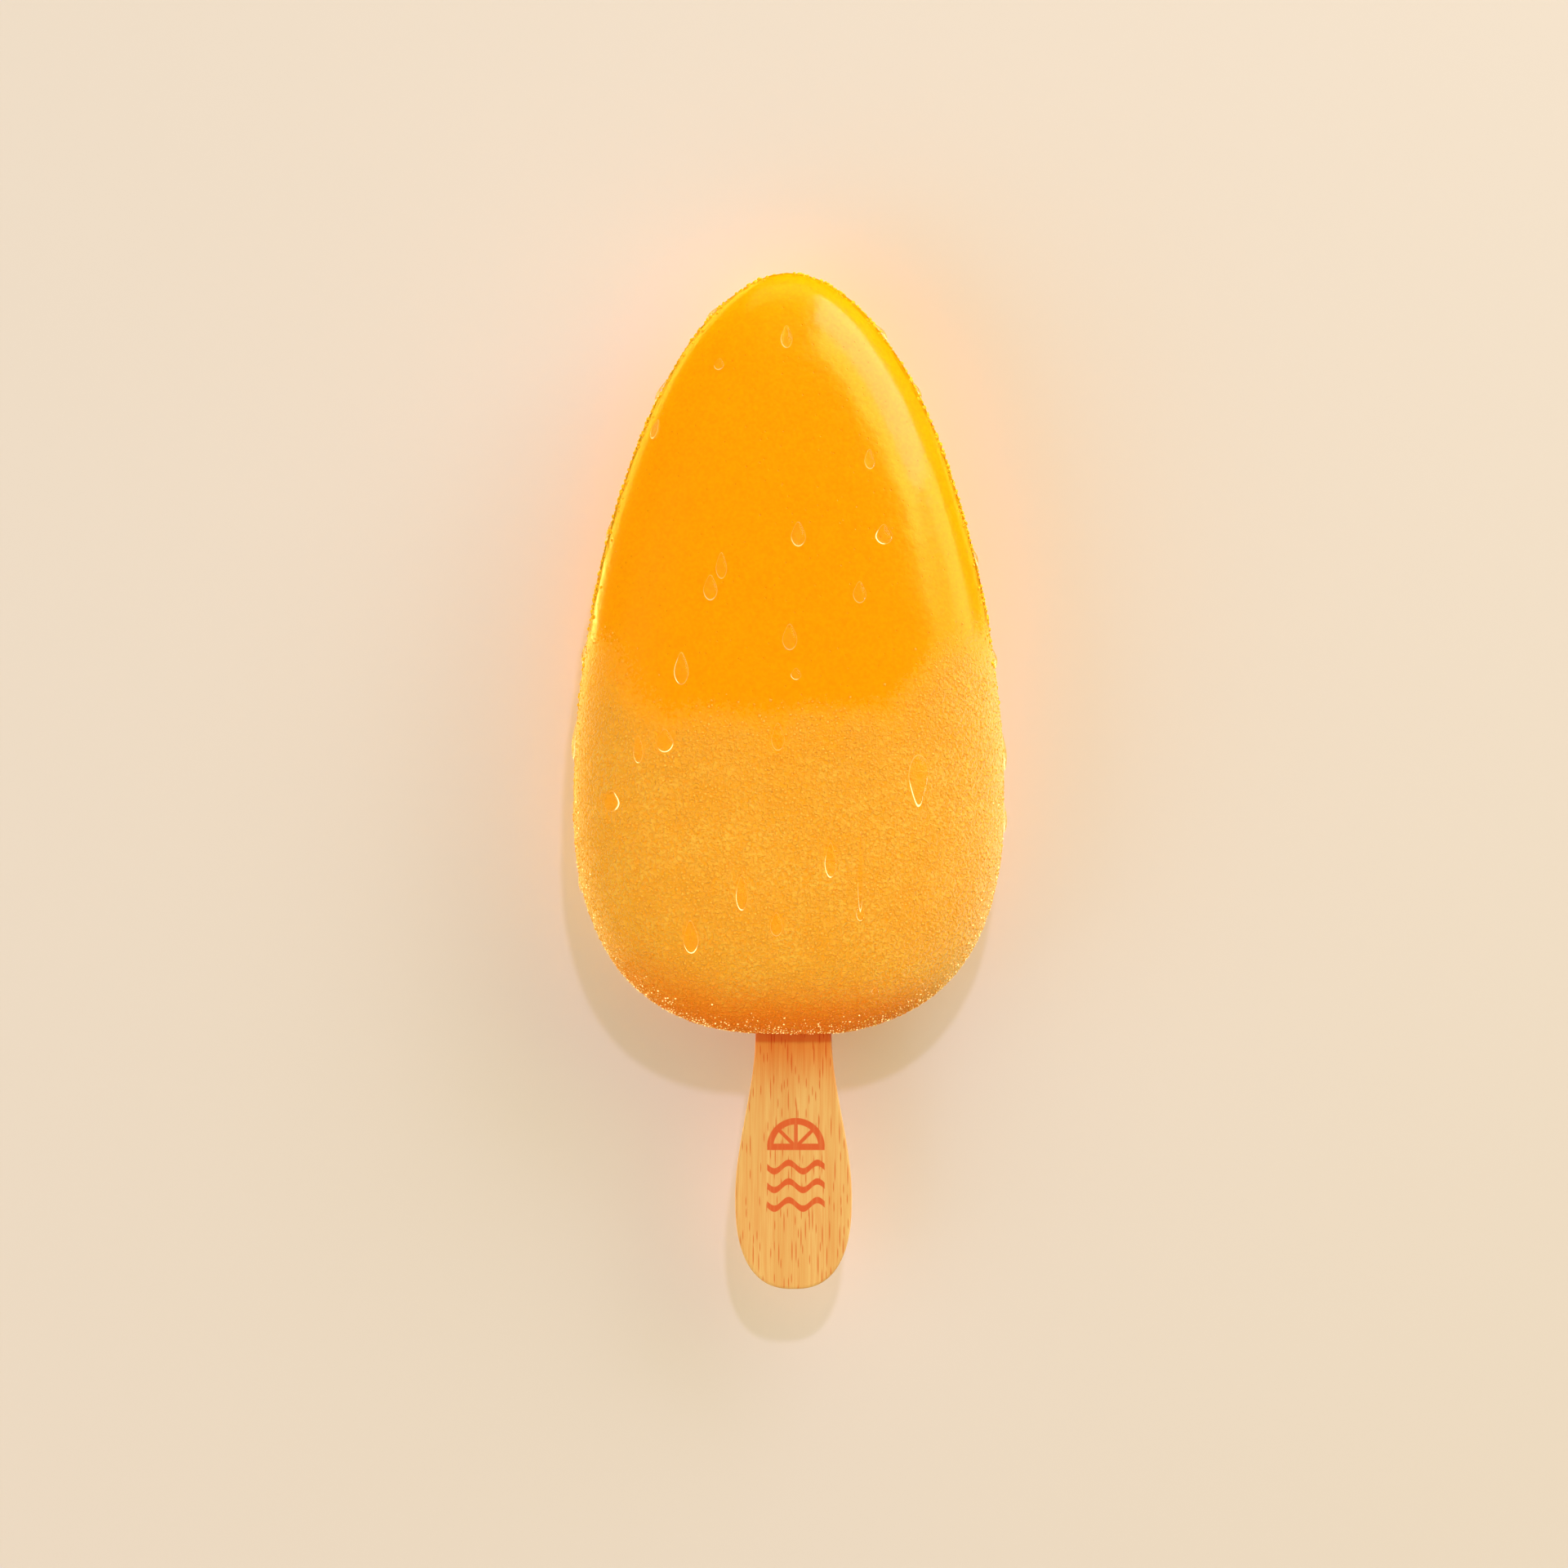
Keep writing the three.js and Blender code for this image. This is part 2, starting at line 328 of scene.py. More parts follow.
def build_frost_cover():
    """Writes how thick the frost is on every point."""
    tree, given = new_geometry_tree(
        "frost cover",
        {
            "Line From Tip": 55.9 * MM,
            "Climb On Flanks": 10.5 * MM,
            "Waver": 4 * MM,
            "Fade": 6 * MM,
            "Fade On Left Flank": 20 * MM,
            "Fade On Right Flank": 13 * MM,
            "Bare Patches": 0.25,
        },
    )
    place = put(tree, "GeometryNodeInputPosition").outputs[0]
    axis = axes_of(tree, place)
    down = maths(tree, "SUBTRACT", TIP_Y, axis["Y"])
    aside = maths(tree, "ABSOLUTE", maths(tree, "SUBTRACT", axis["X"], FLANKS_MIDDLE))
    climb = smooth(tree, aside, *CLIMB, 0.0, given["Climb On Flanks"])
    clouds = maths(tree, "SUBTRACT", noise(tree, place, 9 * MM, 3.0), 0.5)
    waver = maths(tree, "MULTIPLY", clouds, given["Waver"])
    line = maths(tree, "SUBTRACT", given["Line From Tip"], climb)
    past = maths(tree, "SUBTRACT", down, maths(tree, "ADD", line, waver))
    fade = smooth(tree, axis["X"], *LEFT_FLANK, given["Fade"], given["Fade On Left Flank"])
    fade = smooth(tree, axis["X"], *RIGHT_FLANK, fade, given["Fade On Right Flank"])
    begun = smooth(tree, maths(tree, "DIVIDE", past, fade), -0.4, 0.6)
    skin = maths(tree, "MULTIPLY", begun, THIN_FROST)
    cover = maths(tree, "ADD", skin, smooth(tree, past, 0.0, THICKENS_OVER, 0.0, 1 - THIN_FROST))
    patches = smooth(tree, noise(tree, place, 7 * MM, 4.0), 0.42, 0.62)
    bare = maths(tree, "MULTIPLY", patches, given["Bare Patches"])
    frost = maths(tree, "MULTIPLY", cover, maths(tree, "SUBTRACT", 1.0, bare))
    feeds = {"Geometry": given["Geometry"], "Name": "frost", "Value": frost}
    stored = put(tree, "GeometryNodeStoreNamedAttribute", feeds, data_type="FLOAT", domain="POINT")
    put(tree, "NodeGroupOutput", {0: stored})
    return tree


grow(ice, build_frost_cover())

# %% [markdown]
# ## The drops of melt water
#
# Water has run down the face and stands on it in small drops, narrow above and full below. Their
# places are those of the solid model. The shown face has 23, the hidden back has the same again,
# and 12 stand out of the rim. One of the 23 is long and stands the other way up, where two drops of
# the solid model ran together, so its width and length are negative. A drop's height is a share of
# its width. A thin film is added, left by water that ran on.
#
# A real drop shows a bright arc where it bends the light of a window. Here that arc is a painted
# highlight, which the water gives off, because no studio light is small enough to draw it. Each row
# says how strong its arc is and on which side of the drop, counted in degrees from the right.

# %% List the drops
# Each row: across and down from the tip, width and length in mm, strength and side of the glint.
FACE_DROPS = [
    (-0.3, 8.7, 1.6, 3.2, 0.25, 215),
    (-8.9, 12.2, 1.4, 1.6, 0.3, 250),
    (-17.1, 20.4, 1.5, 2.7, 0.5, 240),
    (10.3, 24.4, 1.5, 2.6, 0.15, 265),
    (1.2, 34.0, 2.0, 3.2, 0.5, 255),
    (12.1, 34.0, 2.4, 2.6, 1.0, 215),
    (-8.6, 38.0, 1.5, 3.4, 0.1, 230),
    (-10.0, 40.8, 1.9, 3.3, 0.25, 250),
    (9.0, 41.4, 1.8, 2.8, 0.1, 250),
    (0.1, 47.1, 2.0, 3.4, 0.1, 260),
    (0.9, 51.8, 1.4, 1.5, 0.9, 240),
    (-13.7, 51.1, 2.0, 4.2, 0.9, 195),
    (-15.8, 60.3, 2.4, 3.0, 0.9, 285),
    (-19.2, 61.4, 1.4, 3.6, 0.7, 225),
    (-22.6, 68.0, 2.5, 2.7, 1.0, 355),
    (-1.4, 59.8, 1.8, 3.6, 0.1, 250),
    (16.5, 65.4, -2.8, -6.8, 1.0, 62),
    (5.3, 75.5, 1.6, 4.6, 0.9, 225),
    (-6.0, 79.7, 1.6, 4.6, 1.0, 225),
    (9.1, 82.2, 1.1, 2.2, 0.7, 240),
    (-12.5, 85.3, 2.1, 4.4, 1.0, 265),
    (-1.6, 83.7, 1.7, 3.1, 0.15, 260),
    (11.0, 92.2, 1.0, 1.0, 0.5, 220),
]
# Each row: left (-1) or right (1), down from the tip, width and length in mm.
RIM_DROPS = [
    (-1, 5.2, 1.6, 2.8),
    (1, 7.6, 1.8, 2.9),
    (-1, 15.3, 1.6, 3.4),
    (1, 15.1, 1.7, 2.8),
    (-1, 33.2, 1.4, 3.2),
    (1, 36.6, 1.5, 2.4),
    (-1, 49.0, 1.6, 2.9),
    (1, 49.6, 1.7, 2.6),
    (-1, 60.2, 1.9, 5.2),
    (1, 61.6, 1.9, 5.2),
    (1, 70.2, 1.7, 3.9),
    (-1, 78.6, 1.4, 2.6),
]
FILMS = [(9.1, 77.0, 0.7, 10.5, 0.5, 250)]
DROP_HEIGHT = 0.3
FILM_HEIGHT = 0.1
DROP_TAPER = 0.45
RIM_GLINT = 0.4
RIM_GLINT_SIDE = 250


# %% Work out where each drop stands
def half_at(down, widest, tip, base):
    """Half a width of the ice at a distance down from the tip, for numbers or arrays."""
    on_tip = down < WIDEST_FROM_TIP
    reach = np.where(on_tip, WIDEST_FROM_TIP, ICE_LENGTH - WIDEST_FROM_TIP)
    away = np.abs(down - WIDEST_FROM_TIP) / reach
    run = np.where(on_tip, tip[0], base[0])
    rise = np.where(on_tip, tip[1], base[1])
    return widest / 2 * (1 - away**run) ** (1 / rise)


def drop_rows():
    """Every drop: its place, its width, length and height, its glint and the glint's side."""
    rows = []
    flat = [(*row, DROP_HEIGHT) for row in FACE_DROPS] + [(*row, FILM_HEIGHT) for row in FILMS]
    for x, down, width, length, glint, side, height in flat:
        x, down = x * MM, down * MM
        share = abs(x) / half_at(down, ICE_WIDTH, OUTLINE_TIP, OUTLINE_BASE)
        rise = (1 - share**SECTION_POWER) ** (1 / SECTION_POWER)
        z = half_at(down, ICE_THICKNESS, PROFILE_TIP, PROFILE_BASE) * rise
        size = (width * MM, length * MM, abs(height * width) * MM)
        rows.append(((x, TIP_Y - down, MIDDLE_Z + z), size, glint, side))
        rows.append(((x, TIP_Y - down, MIDDLE_Z - z), size, glint, 180 - side))
    for side, down, width, length in RIM_DROPS:
        x = side * half_at(down * MM, ICE_WIDTH, OUTLINE_TIP, OUTLINE_BASE)
        size = (width * MM, length * MM, DROP_HEIGHT * width * MM)
        rows.append(((x, TIP_Y - down * MM, MIDDLE_Z), size, RIM_GLINT, RIM_GLINT_SIDE))
    return rows


drops = drop_rows()
print(len(drops), "drops and films")

# %% [markdown]
# A drop stands square on the ice, with its narrow end towards the tip. Geometry Nodes find the
# ice's own direction outwards under each point, turn one drop to it and stretch it to that point's
# size. The drop is a ball whose lower half is sunk and flattened, so that it closes just under the
# skin and no gap shows at its rim.

# %% Stand the drops on the ice
def rest_on_floor(tree, geometry):
    """Lifts every point that is under the surface the pop lies on up to that surface."""
    feeds = {0: put(tree, "GeometryNodeInputPosition"), 1: (-1.0, -1.0, 0.0)}
    above = put(tree, "ShaderNodeVectorMath", feeds, operation="MAXIMUM").outputs[0]
    return put(tree, "GeometryNodeSetPosition", {"Geometry": geometry, "Position": above})


def build_standing_drops():
    """Turns every loose point into a drop that stands on the ice."""
    tree, given = new_geometry_tree(
        "standing drops",
        {
            "Ice": "NodeSocketObject",
            "Material": "NodeSocketMaterial",
            "Taper": DROP_TAPER,
            "Sunk Part": 0.35,
            "Segments": 32,
            "Rings": 20,
        },
    )
    ball_feeds = {"Segments": given["Segments"], "Rings": given["Rings"], "Radius": 1.0}
    ball = put(tree, "GeometryNodeMeshUVSphere", ball_feeds)
    place = put(tree, "GeometryNodeInputPosition")
    axis = axes_of(tree, place)
    narrowing = maths(tree, "MULTIPLY", smooth(tree, axis["Y"], -0.4, 1.0), given["Taper"])
    keep = maths(tree, "SUBTRACT", 1.0, narrowing)
    lower = maths(tree, "MULTIPLY", axis["Z"], given["Sunk Part"])
    shape_feeds = {
        "X": maths(tree, "MULTIPLY", maths(tree, "MULTIPLY", axis["X"], keep), 0.5),
        "Y": maths(tree, "MULTIPLY", axis["Y"], 0.5),
        "Z": maths(tree, "MULTIPLY", maths(tree, "MAXIMUM", axis["Z"], lower), keep),
    }
    shape = put(tree, "ShaderNodeCombineXYZ", shape_feeds)
    own_feeds = {"Geometry": ball, "Name": "own_place", "Value": place}
    marked = put(tree, "GeometryNodeStoreNamedAttribute", own_feeds, data_type="FLOAT_VECTOR")
    drop = put(tree, "GeometryNodeSetPosition", {"Geometry": marked, "Position": shape})

    body = put(tree, "GeometryNodeObjectInfo", {"Object": given["Ice"]})
    nearest_feeds = {"Mesh": body.outputs["Geometry"], "Value": put(tree, "GeometryNodeInputNormal")}
    nearest = put(tree, "GeometryNodeSampleNearestSurface", nearest_feeds, data_type="FLOAT_VECTOR")
    axes_feeds = {0: nearest.outputs["Value"], 1: (0.0, 1.0, 0.0)}
    axes = put(tree, "FunctionNodeAxesToRotation", axes_feeds, primary_axis="Z", secondary_axis="Y")
    copies_feeds = {
        "Points": given["Geometry"],
        "Instance": drop,
        "Rotation": axes,
        "Scale": named_value(tree, "size", "FLOAT_VECTOR"),
    }
    copies = put(tree, "GeometryNodeInstanceOnPoints", copies_feeds)
    real = put(tree, "GeometryNodeRealizeInstances", {"Geometry": copies})
    rounded = put(tree, "GeometryNodeSetShadeSmooth", {"Geometry": rest_on_floor(tree, real)})
    named_feeds = {"Geometry": rounded, "Material": given["Material"]}
    put(tree, "NodeGroupOutput", {0: put(tree, "GeometryNodeSetMaterial", named_feeds)})
    return tree


# %% Grow the drops
def points_object(name, rows):
    """A mesh of loose points, each with the size and the glint of its drop."""
    mesh = bpy.data.meshes.new(name)
    mesh.from_pydata([place for place, _, _, _ in rows], [], [])
    size = mesh.attributes.new("size", "FLOAT_VECTOR", "POINT")
    size.data.foreach_set("vector", [number for _, numbers, _, _ in rows for number in numbers])
    write_attribute(mesh, "glint", [glint for _, _, glint, _ in rows])
    write_attribute(mesh, "glint_side", [math.radians(side) for _, _, _, side in rows])
    return new_object(name, mesh)


melt_water = bpy.data.materials.new("melt water")
water = points_object("melt_drops", drops)
grow(water, build_standing_drops(), ice=ice, material=melt_water)

# %% [markdown]
# Under a drop the frost has begun to melt. The second attribute, `wet`, is 1 inside a drop's
# footprint. Half of the frost is taken away there, and no grains stand there. This is plain
# arithmetic on all points at once, so NumPy does it faster and shorter than nodes would.

# %% Wet the ice under the drops
FOOTPRINT = 1.25  # in half widths and half lengths of the drop
FOOTPRINT_FADE = 0.3
MELTED_SHARE = 0.5


def wet_under(mesh, rows):
    """How far each point of the mesh lies in the footprint of a drop, from 0 to 1."""
    places = read_vectors(mesh.vertices, "co")
    wet = np.zeros(len(places), np.float32)
    for place, (width, length, _), _, _ in rows:
        away = places - np.array(place)
        along = away[:, 1] / (length / 2)
        across = np.hypot(away[:, 0], away[:, 2]) / (width / 2)
        inside = FOOTPRINT - np.hypot(along, across)
        wet = np.maximum(wet, np.clip(inside / FOOTPRINT_FADE, 0, 1))
    return wet


wet = wet_under(ice.data, drops)
write_attribute(ice.data, "wet", wet)
frost_left = read_attribute(ice.data, "frost") * (1 - MELTED_SHARE * wet)
write_attribute(ice.data, "frost", frost_left)
print(f"wet points: {np.count_nonzero(wet > 0.5)} of {len(wet)}")

# %% [markdown]
# ## The relief of the ice
#
# No moulded ice is perfectly even. Long shallow swells break up the edge of its highlight, the
# frosted skin is lumpy, and water has frozen in small lumps along the rim. All three move the
# points of the mesh along their own direction outwards, so they show on the outline and in the mesh
# itself, which a bump in the material would not. The finest grain, smaller than the mesh's faces,
# stays in the material.

# %% Raise the relief
def build_relief():
    """Raises and lowers the skin by its swells and lumps."""
    tree, given = new_geometry_tree(
        "ice relief",
        {"Swell": 0.32 * MM, "Frost Lumps": 0.12 * MM, "Rim Lumps": 0.26 * MM},
    )
    place = put(tree, "GeometryNodeInputPosition").outputs[0]
    normal = put(tree, "GeometryNodeInputNormal").outputs[0]
    steep = smooth(tree, maths(tree, "ABSOLUTE", axes_of(tree, normal)["Z"]), 0.55, 0.2)
    lift = 0.0
    for height, texture, mask in (
        ("Swell", noise(tree, place, 12 * MM, 1.0), 1.0),
        ("Frost Lumps", noise(tree, place, 1.0 * MM, 2.0, 0.4), named_value(tree, "frost")),
        ("Rim Lumps", noise(tree, place, 0.9 * MM, 1.0), steep),
    ):
        part = maths(tree, "MULTIPLY", maths(tree, "SUBTRACT", texture, 0.5), given[height])
        lift = maths(tree, "MULTIPLY_ADD", part, mask, lift)
    offset = put(tree, "ShaderNodeVectorMath", {0: normal, "Scale": lift}, operation="SCALE")
    raised_feeds = {"Geometry": given["Geometry"], "Offset": offset.outputs[0]}
    raised = put(tree, "GeometryNodeSetPosition", raised_feeds)
    put(tree, "NodeGroupOutput", {0: rest_on_floor(tree, raised)})
    return tree


grow(ice, build_relief())

# %% [markdown]
# ## Frost that stands proud
#
# Frost is made of grains. Thousands of them stand on the skin, so each has only 8 to 36 triangles,
# and is half sunk and turned at random. One tree scatters all three kinds, with its own numbers for
# each: fine grains wherever the frost is, small beads of frozen water along the upper rim, and
# clear crystals on the base and the lower rim, where the light catches them.
#
# Where each kind goes is again an attribute, a share of the full density. `outward` is the skin's
# own direction: its Z is 1 on the face and 0 on the rim. None stands where the pop lies on its back.

# %% Write where grains, beads and crystals go
RIM_STEEPNESS = 0.4
CLEAR_OF_FLOOR = 0.6 * MM
BEADS_END = 62 * MM  # down from the tip, as is the next
CRYSTALS_START = 62 * MM
BEADS_FADE = 8 * MM
CRYSTALS_GROW = 24 * MM
CRYSTALS_TURN = (0.75, 0.3)  # from none to all while the skin turns away from the face
CRYSTALS_POWER = 1.5


def write_scatter_masks(mesh):
    """The shares of the full density for grains, beads and crystals, on every point."""
    places = read_vectors(mesh.vertices, "co")
    outward = read_vectors(mesh.vertex_normals, "vector")[:, 2]
    down = TIP_Y - places[:, 1]
    steep = np.clip(1 - np.abs(outward) / RIM_STEEPNESS, 0, 1)
    dry = 1 - read_attribute(mesh, "wet")
    lifted = places[:, 2] > CLEAR_OF_FLOOR
    frost = read_attribute(mesh, "frost")
    write_attribute(mesh, "grains", frost * dry * lifted)
    upper = np.clip((BEADS_END - down) / BEADS_FADE, 0, 1)
    write_attribute(mesh, "beads", steep * dry * (1 - frost) * upper * lifted)
    start, end = CRYSTALS_TURN
    turning = np.clip((start - outward) / (start - end), 0, 1)
    low = np.clip((down - CRYSTALS_START) / CRYSTALS_GROW, 0, 1)
    write_attribute(mesh, "crystals", turning**CRYSTALS_POWER * low**CRYSTALS_POWER * lifted)
    print(f"skin under frost: {np.mean(frost > 0.5):.0%} of the points")


write_scatter_masks(ice.data)

# %% Build the scatter tree
def build_scatter():
    """Turns a skin into loose grains, as dense as the named mask says."""
    tree, given = new_geometry_tree(
        "scattered grains",
        {
            "Mask": "NodeSocketString",
            "Spacing": 0.45 * MM,
            "Smallest": 0.12 * MM,
            "Largest": 0.26 * MM,
            "Flatness": 0.6,
            "Segments": 4,
            "Rings": 2,
            "Seed": 1,
            "Material": "NodeSocketMaterial",
        },
    )
    full = maths(tree, "POWER", given["Spacing"], -2.0)
    spread_feeds = {
        "Mesh": given["Geometry"],
        "Distance Min": given["Spacing"],
        "Density Max": full,
        "Density Factor": named_value(tree, given["Mask"]),
        "Seed": given["Seed"],
    }
    spreader = "GeometryNodeDistributePointsOnFaces"
    spread = put(tree, spreader, spread_feeds, distribute_method="POISSON").outputs
    ball_feeds = {"Segments": given["Segments"], "Rings": given["Rings"], "Radius": 1.0}
    ball = put(tree, "GeometryNodeMeshUVSphere", ball_feeds)
    chance_feeds = {2: 0.0, 3: 1.0, "Seed": given["Seed"]}
    chance = put(tree, "FunctionNodeRandomValue", chance_feeds, data_type="FLOAT").outputs[1]
    skewed = maths(tree, "POWER", chance, 2.0)
    size_range = maths(tree, "SUBTRACT", given["Largest"], given["Smallest"])
    radius = maths(tree, "MULTIPLY_ADD", skewed, size_range, given["Smallest"])
    height = maths(tree, "MULTIPLY", radius, given["Flatness"])
    size = put(tree, "ShaderNodeCombineXYZ", {"X": radius, "Y": radius, "Z": height})
    twist_feeds = {0: (-0.5, -0.5, 0.0), 1: (0.5, 0.5, 2 * math.pi), "Seed": given["Seed"]}
    twist = put(tree, "FunctionNodeRandomValue", twist_feeds, data_type="FLOAT_VECTOR")
    turn_feeds = {0: spread["Rotation"], 1: twist}
    turned = put(tree, "FunctionNodeRotateRotation", turn_feeds, rotation_space="LOCAL")
    copies_feeds = {
        "Points": spread["Points"],
        "Instance": ball,
        "Rotation": turned,
        "Scale": size,
    }
    copies = put(tree, "GeometryNodeInstanceOnPoints", copies_feeds)
    real = put(tree, "GeometryNodeRealizeInstances", {"Geometry": copies})
    rounded = put(tree, "GeometryNodeSetShadeSmooth", {"Geometry": real})
    named_feeds = {"Geometry": rounded, "Material": given["Material"]}
    put(tree, "NodeGroupOutput", {0: put(tree, "GeometryNodeSetMaterial", named_feeds)})
    return tree


# %% Scatter the frost
frost_grain = bpy.data.materials.new("frost grain")
ice_bead = bpy.data.materials.new("ice bead")
clear_frost = bpy.data.materials.new("clear frost")
scatter = build_scatter()
SCATTERED = {
    "frost_grains": {"mask": "grains", "spacing": 0.42 * MM, "seed": 3, "material": frost_grain},
    "rim_beads": {
        "mask": "beads",
        "spacing": 0.6 * MM,
        "smallest": 0.14 * MM,
        "largest": 0.34 * MM,
        "flatness": 0.9,
        "segments": 6,
        "rings": 4,
        "seed": 5,
        "material": ice_bead,
    },
    "frost_crystals": {
        "mask": "crystals",
        "spacing": 0.34 * MM,
        "smallest": 0.05 * MM,
        "largest": 0.17 * MM,
        "flatness": 0.9,
        "segments": 5,
        "rings": 3,
        "seed": 7,
        "material": clear_frost,
    },
}
grains, beads, crystals = (
    grow(new_object(name, ice.data.copy()), scatter, **values) for name, values in SCATTERED.items()
)

# %% [markdown]
# ## The stick
#
# A flat stick is stamped from a thin board and then tumbled, which rounds its edges. A flat curve
# with an extrusion and a bevel is made in the same way: the outline is drawn once, from the same
# widths as the solid model, and Blender adds the thickness and the rounded edge. It becomes a mesh
# before it is put in its place.

# %% Draw the stick's outline
STICK_LENGTH = 93 * MM
STICK_SHOWN = 32.8 * MM
NECK_WIDTH = 9.8 * MM
HANDLE_WIDTH = 15 * MM
STICK_THICKNESS = 2 * MM
FLARE_LENGTH = 21 * MM
HANDLE_END_POWER = 2.5
STICK_EDGE = 0.35 * MM
ICE_END_Y = TIP_Y - ICE_LENGTH


def stick_half_at(down):
    """Half the stick's width at a distance down from where it leaves the ice."""
    share = min(max(down / FLARE_LENGTH, 0), 1)
    half = (NECK_WIDTH + (HANDLE_WIDTH - NECK_WIDTH) * share**2 * (3 - 2 * share)) / 2
    if down <= FLARE_LENGTH:
        return half
    away = (down - FLARE_LENGTH) / (STICK_SHOWN - FLARE_LENGTH)
    return half * (1 - min(away, 1) ** HANDLE_END_POWER) ** (1 / HANDLE_END_POWER)


def stick_outline(steps=48):
    """The outline's right side from the end in the ice to the round end, then back up the left."""
    inside = STICK_LENGTH - STICK_SHOWN - NECK_WIDTH / 2
    right = []
    for i in range(1, steps):
        turn = (1 - i / steps) * math.pi / 2
        right.append((NECK_WIDTH / 2 * math.cos(turn), inside + NECK_WIDTH / 2 * math.sin(turn)))
    right += [(stick_half_at(down), -down) for down in np.linspace(0, FLARE_LENGTH, steps)]
    for i in range(1, steps):
        down = FLARE_LENGTH + (STICK_SHOWN - FLARE_LENGTH) * math.sin(i / steps * math.pi / 2)
        right.append((stick_half_at(down), -down))
    left = [(-x, y) for x, y in reversed(right)]
    return [(0, inside + NECK_WIDTH / 2), *right, (0, -STICK_SHOWN), *left]


# %% Cut the stick
def cut_stick():
    """The stick as a mesh: its outline, filled, thickened and with rounded edges."""
    outline = stick_outline()
    curve = bpy.data.curves.new("stick outline", "CURVE")
    curve.dimensions = "2D"
    curve.fill_mode = "BOTH"
    curve.extrude = STICK_THICKNESS / 2 - STICK_EDGE
    curve.bevel_depth = STICK_EDGE
    curve.bevel_resolution = 3
    curve.offset = -STICK_EDGE
    spline = curve.splines.new("POLY")
    spline.points.add(len(outline) - 1)
    spline.points.foreach_set("co", [c for x, y in outline for c in (x, y, 0, 1)])
    spline.use_cyclic_u = True
    drawn = bpy.data.objects.new("stick outline", curve)
    bpy.context.scene.collection.objects.link(drawn)
    depsgraph = bpy.context.evaluated_depsgraph_get()
    mesh = bpy.data.meshes.new_from_object(drawn.evaluated_get(depsgraph))
    bpy.data.objects.remove(drawn)
    mesh.transform(Matrix.Translation((STICK_X, ICE_END_Y, MIDDLE_Z)))
    return mesh


def smooth_edges_only(mesh):
    """Merges doubles, turns all faces outwards and keeps the two flat faces crisp."""
    shape = bmesh.new()
    shape.from_mesh(mesh)
    bmesh.ops.remove_doubles(shape, verts=shape.verts, dist=MERGE_DISTANCE)
    bmesh.ops.recalc_face_normals(shape, faces=shape.faces)
    for face in shape.faces:
        face.smooth = True
    for edge in shape.edges:
        flats = [abs(face.normal.z) > 0.999 for face in edge.link_faces]
        edge.smooth = all(flats) or not any(flats)
    shape.to_mesh(mesh)
    shape.free()


stick = new_object("beech_stick", cut_stick())
smooth_edges_only(stick.data)
print(f"stick: {len(stick.data.polygons)} faces")

# %% [markdown]
# ## The finish of the ice
#
# Fruit ice is translucent: light goes in, scatters and comes out orange, so the shader has
# subsurface scattering, which carries red further than green and hardly any blue. The wet part is
# smooth with a soft gloss. The frosted part is paler and dull, with a fine grain. The grain is a
# node group, because the loose grains and crystals use it too.

# %% Build the grain group
def place_on(tree):
    """The place on the piece, in metres, which a pattern follows."""
    return put(tree, "ShaderNodeTexCoord").outputs["Object"]


def new_shader_group(name, inputs, outputs):
    """A node group with named float inputs and outputs."""
    group = bpy.data.node_groups.new(name, "ShaderNodeTree")
    for label, value in inputs.items():
        socket = group.interface.new_socket(label, in_out="INPUT", socket_type="NodeSocketFloat")
        socket.default_value = value
    for label in outputs:
        group.interface.new_socket(label, in_out="OUTPUT", socket_type="NodeSocketFloat")
    return group, group.nodes.new("NodeGroupInput").outputs


def build_grain_group():
    """Clouds and wrinkles of frost: Patches is broad and Grain is fine, both from 0 to 1."""
    group, given = new_shader_group(
        "frost texture", {"Patch Size": 5 * MM, "Grain Size": 0.42 * MM}, ("Patches", "Grain")
    )
    place = place_on(group)
    result = {}
    for number, size, detail, distortion in ((0, "Patch Size", 3.0, 0.0), (1, "Grain Size", 2.0, 0.6)):
        scale = maths(group, "DIVIDE", 1.0, given[size])
        feeds = {"Vector": place, "Scale": scale, "Detail": detail, "Distortion": distortion}
        result[number] = smooth(group, put(group, "ShaderNodeTexNoise", feeds), 0.3, 0.7)
    put(group, "NodeGroupOutput", result)
    return group


frost_texture = build_grain_group()
print("group:", frost_texture.name)

# %% Helpers for finishes
def use_nodes(material):
    """Empties the material's tree and gives it a fresh output and main shader."""
    material.use_nodes = True
    tree = material.node_tree
    tree.nodes.clear()
    shader = put(tree, "ShaderNodeBsdfPrincipled")
    put(tree, "ShaderNodeOutputMaterial", {"Surface": shader.outputs[0]})
    return tree, shader


def blend(tree, share, first, second):
    """A colour between two, by a share from 0 to 1."""
    feeds = {"Factor": share, 6: first, 7: second}
    return put(tree, "ShaderNodeMix", feeds, data_type="RGBA").outputs[2]


def tinted(tree, share, color, tint):
    """A colour with so much of a tint laid over it."""
    feeds = {"Factor": share, 6: color, 7: tint}
    return put(tree, "ShaderNodeMix", feeds, data_type="RGBA", blend_type="MULTIPLY").outputs[2]


def bumps(tree, height, strength, distance, onto=None):
    """A normal that follows a height from 0 to 1, laid over another normal."""
    feeds = {"Height": height, "Strength": strength, "Distance": distance}
    if onto:
        feeds["Normal"] = onto
    return put(tree, "ShaderNodeBump", feeds).outputs[0]


def value_of(tree, name):
    """Reads a number that was written on every point, such as how thick the frost is."""
    return put(tree, "ShaderNodeAttribute", attribute_name=name).outputs["Fac"]


def frost_pattern(tree):
    """The sockets Patches and Grain of the frost's texture."""
    return put(tree, "ShaderNodeGroup", node_tree=frost_texture).outputs
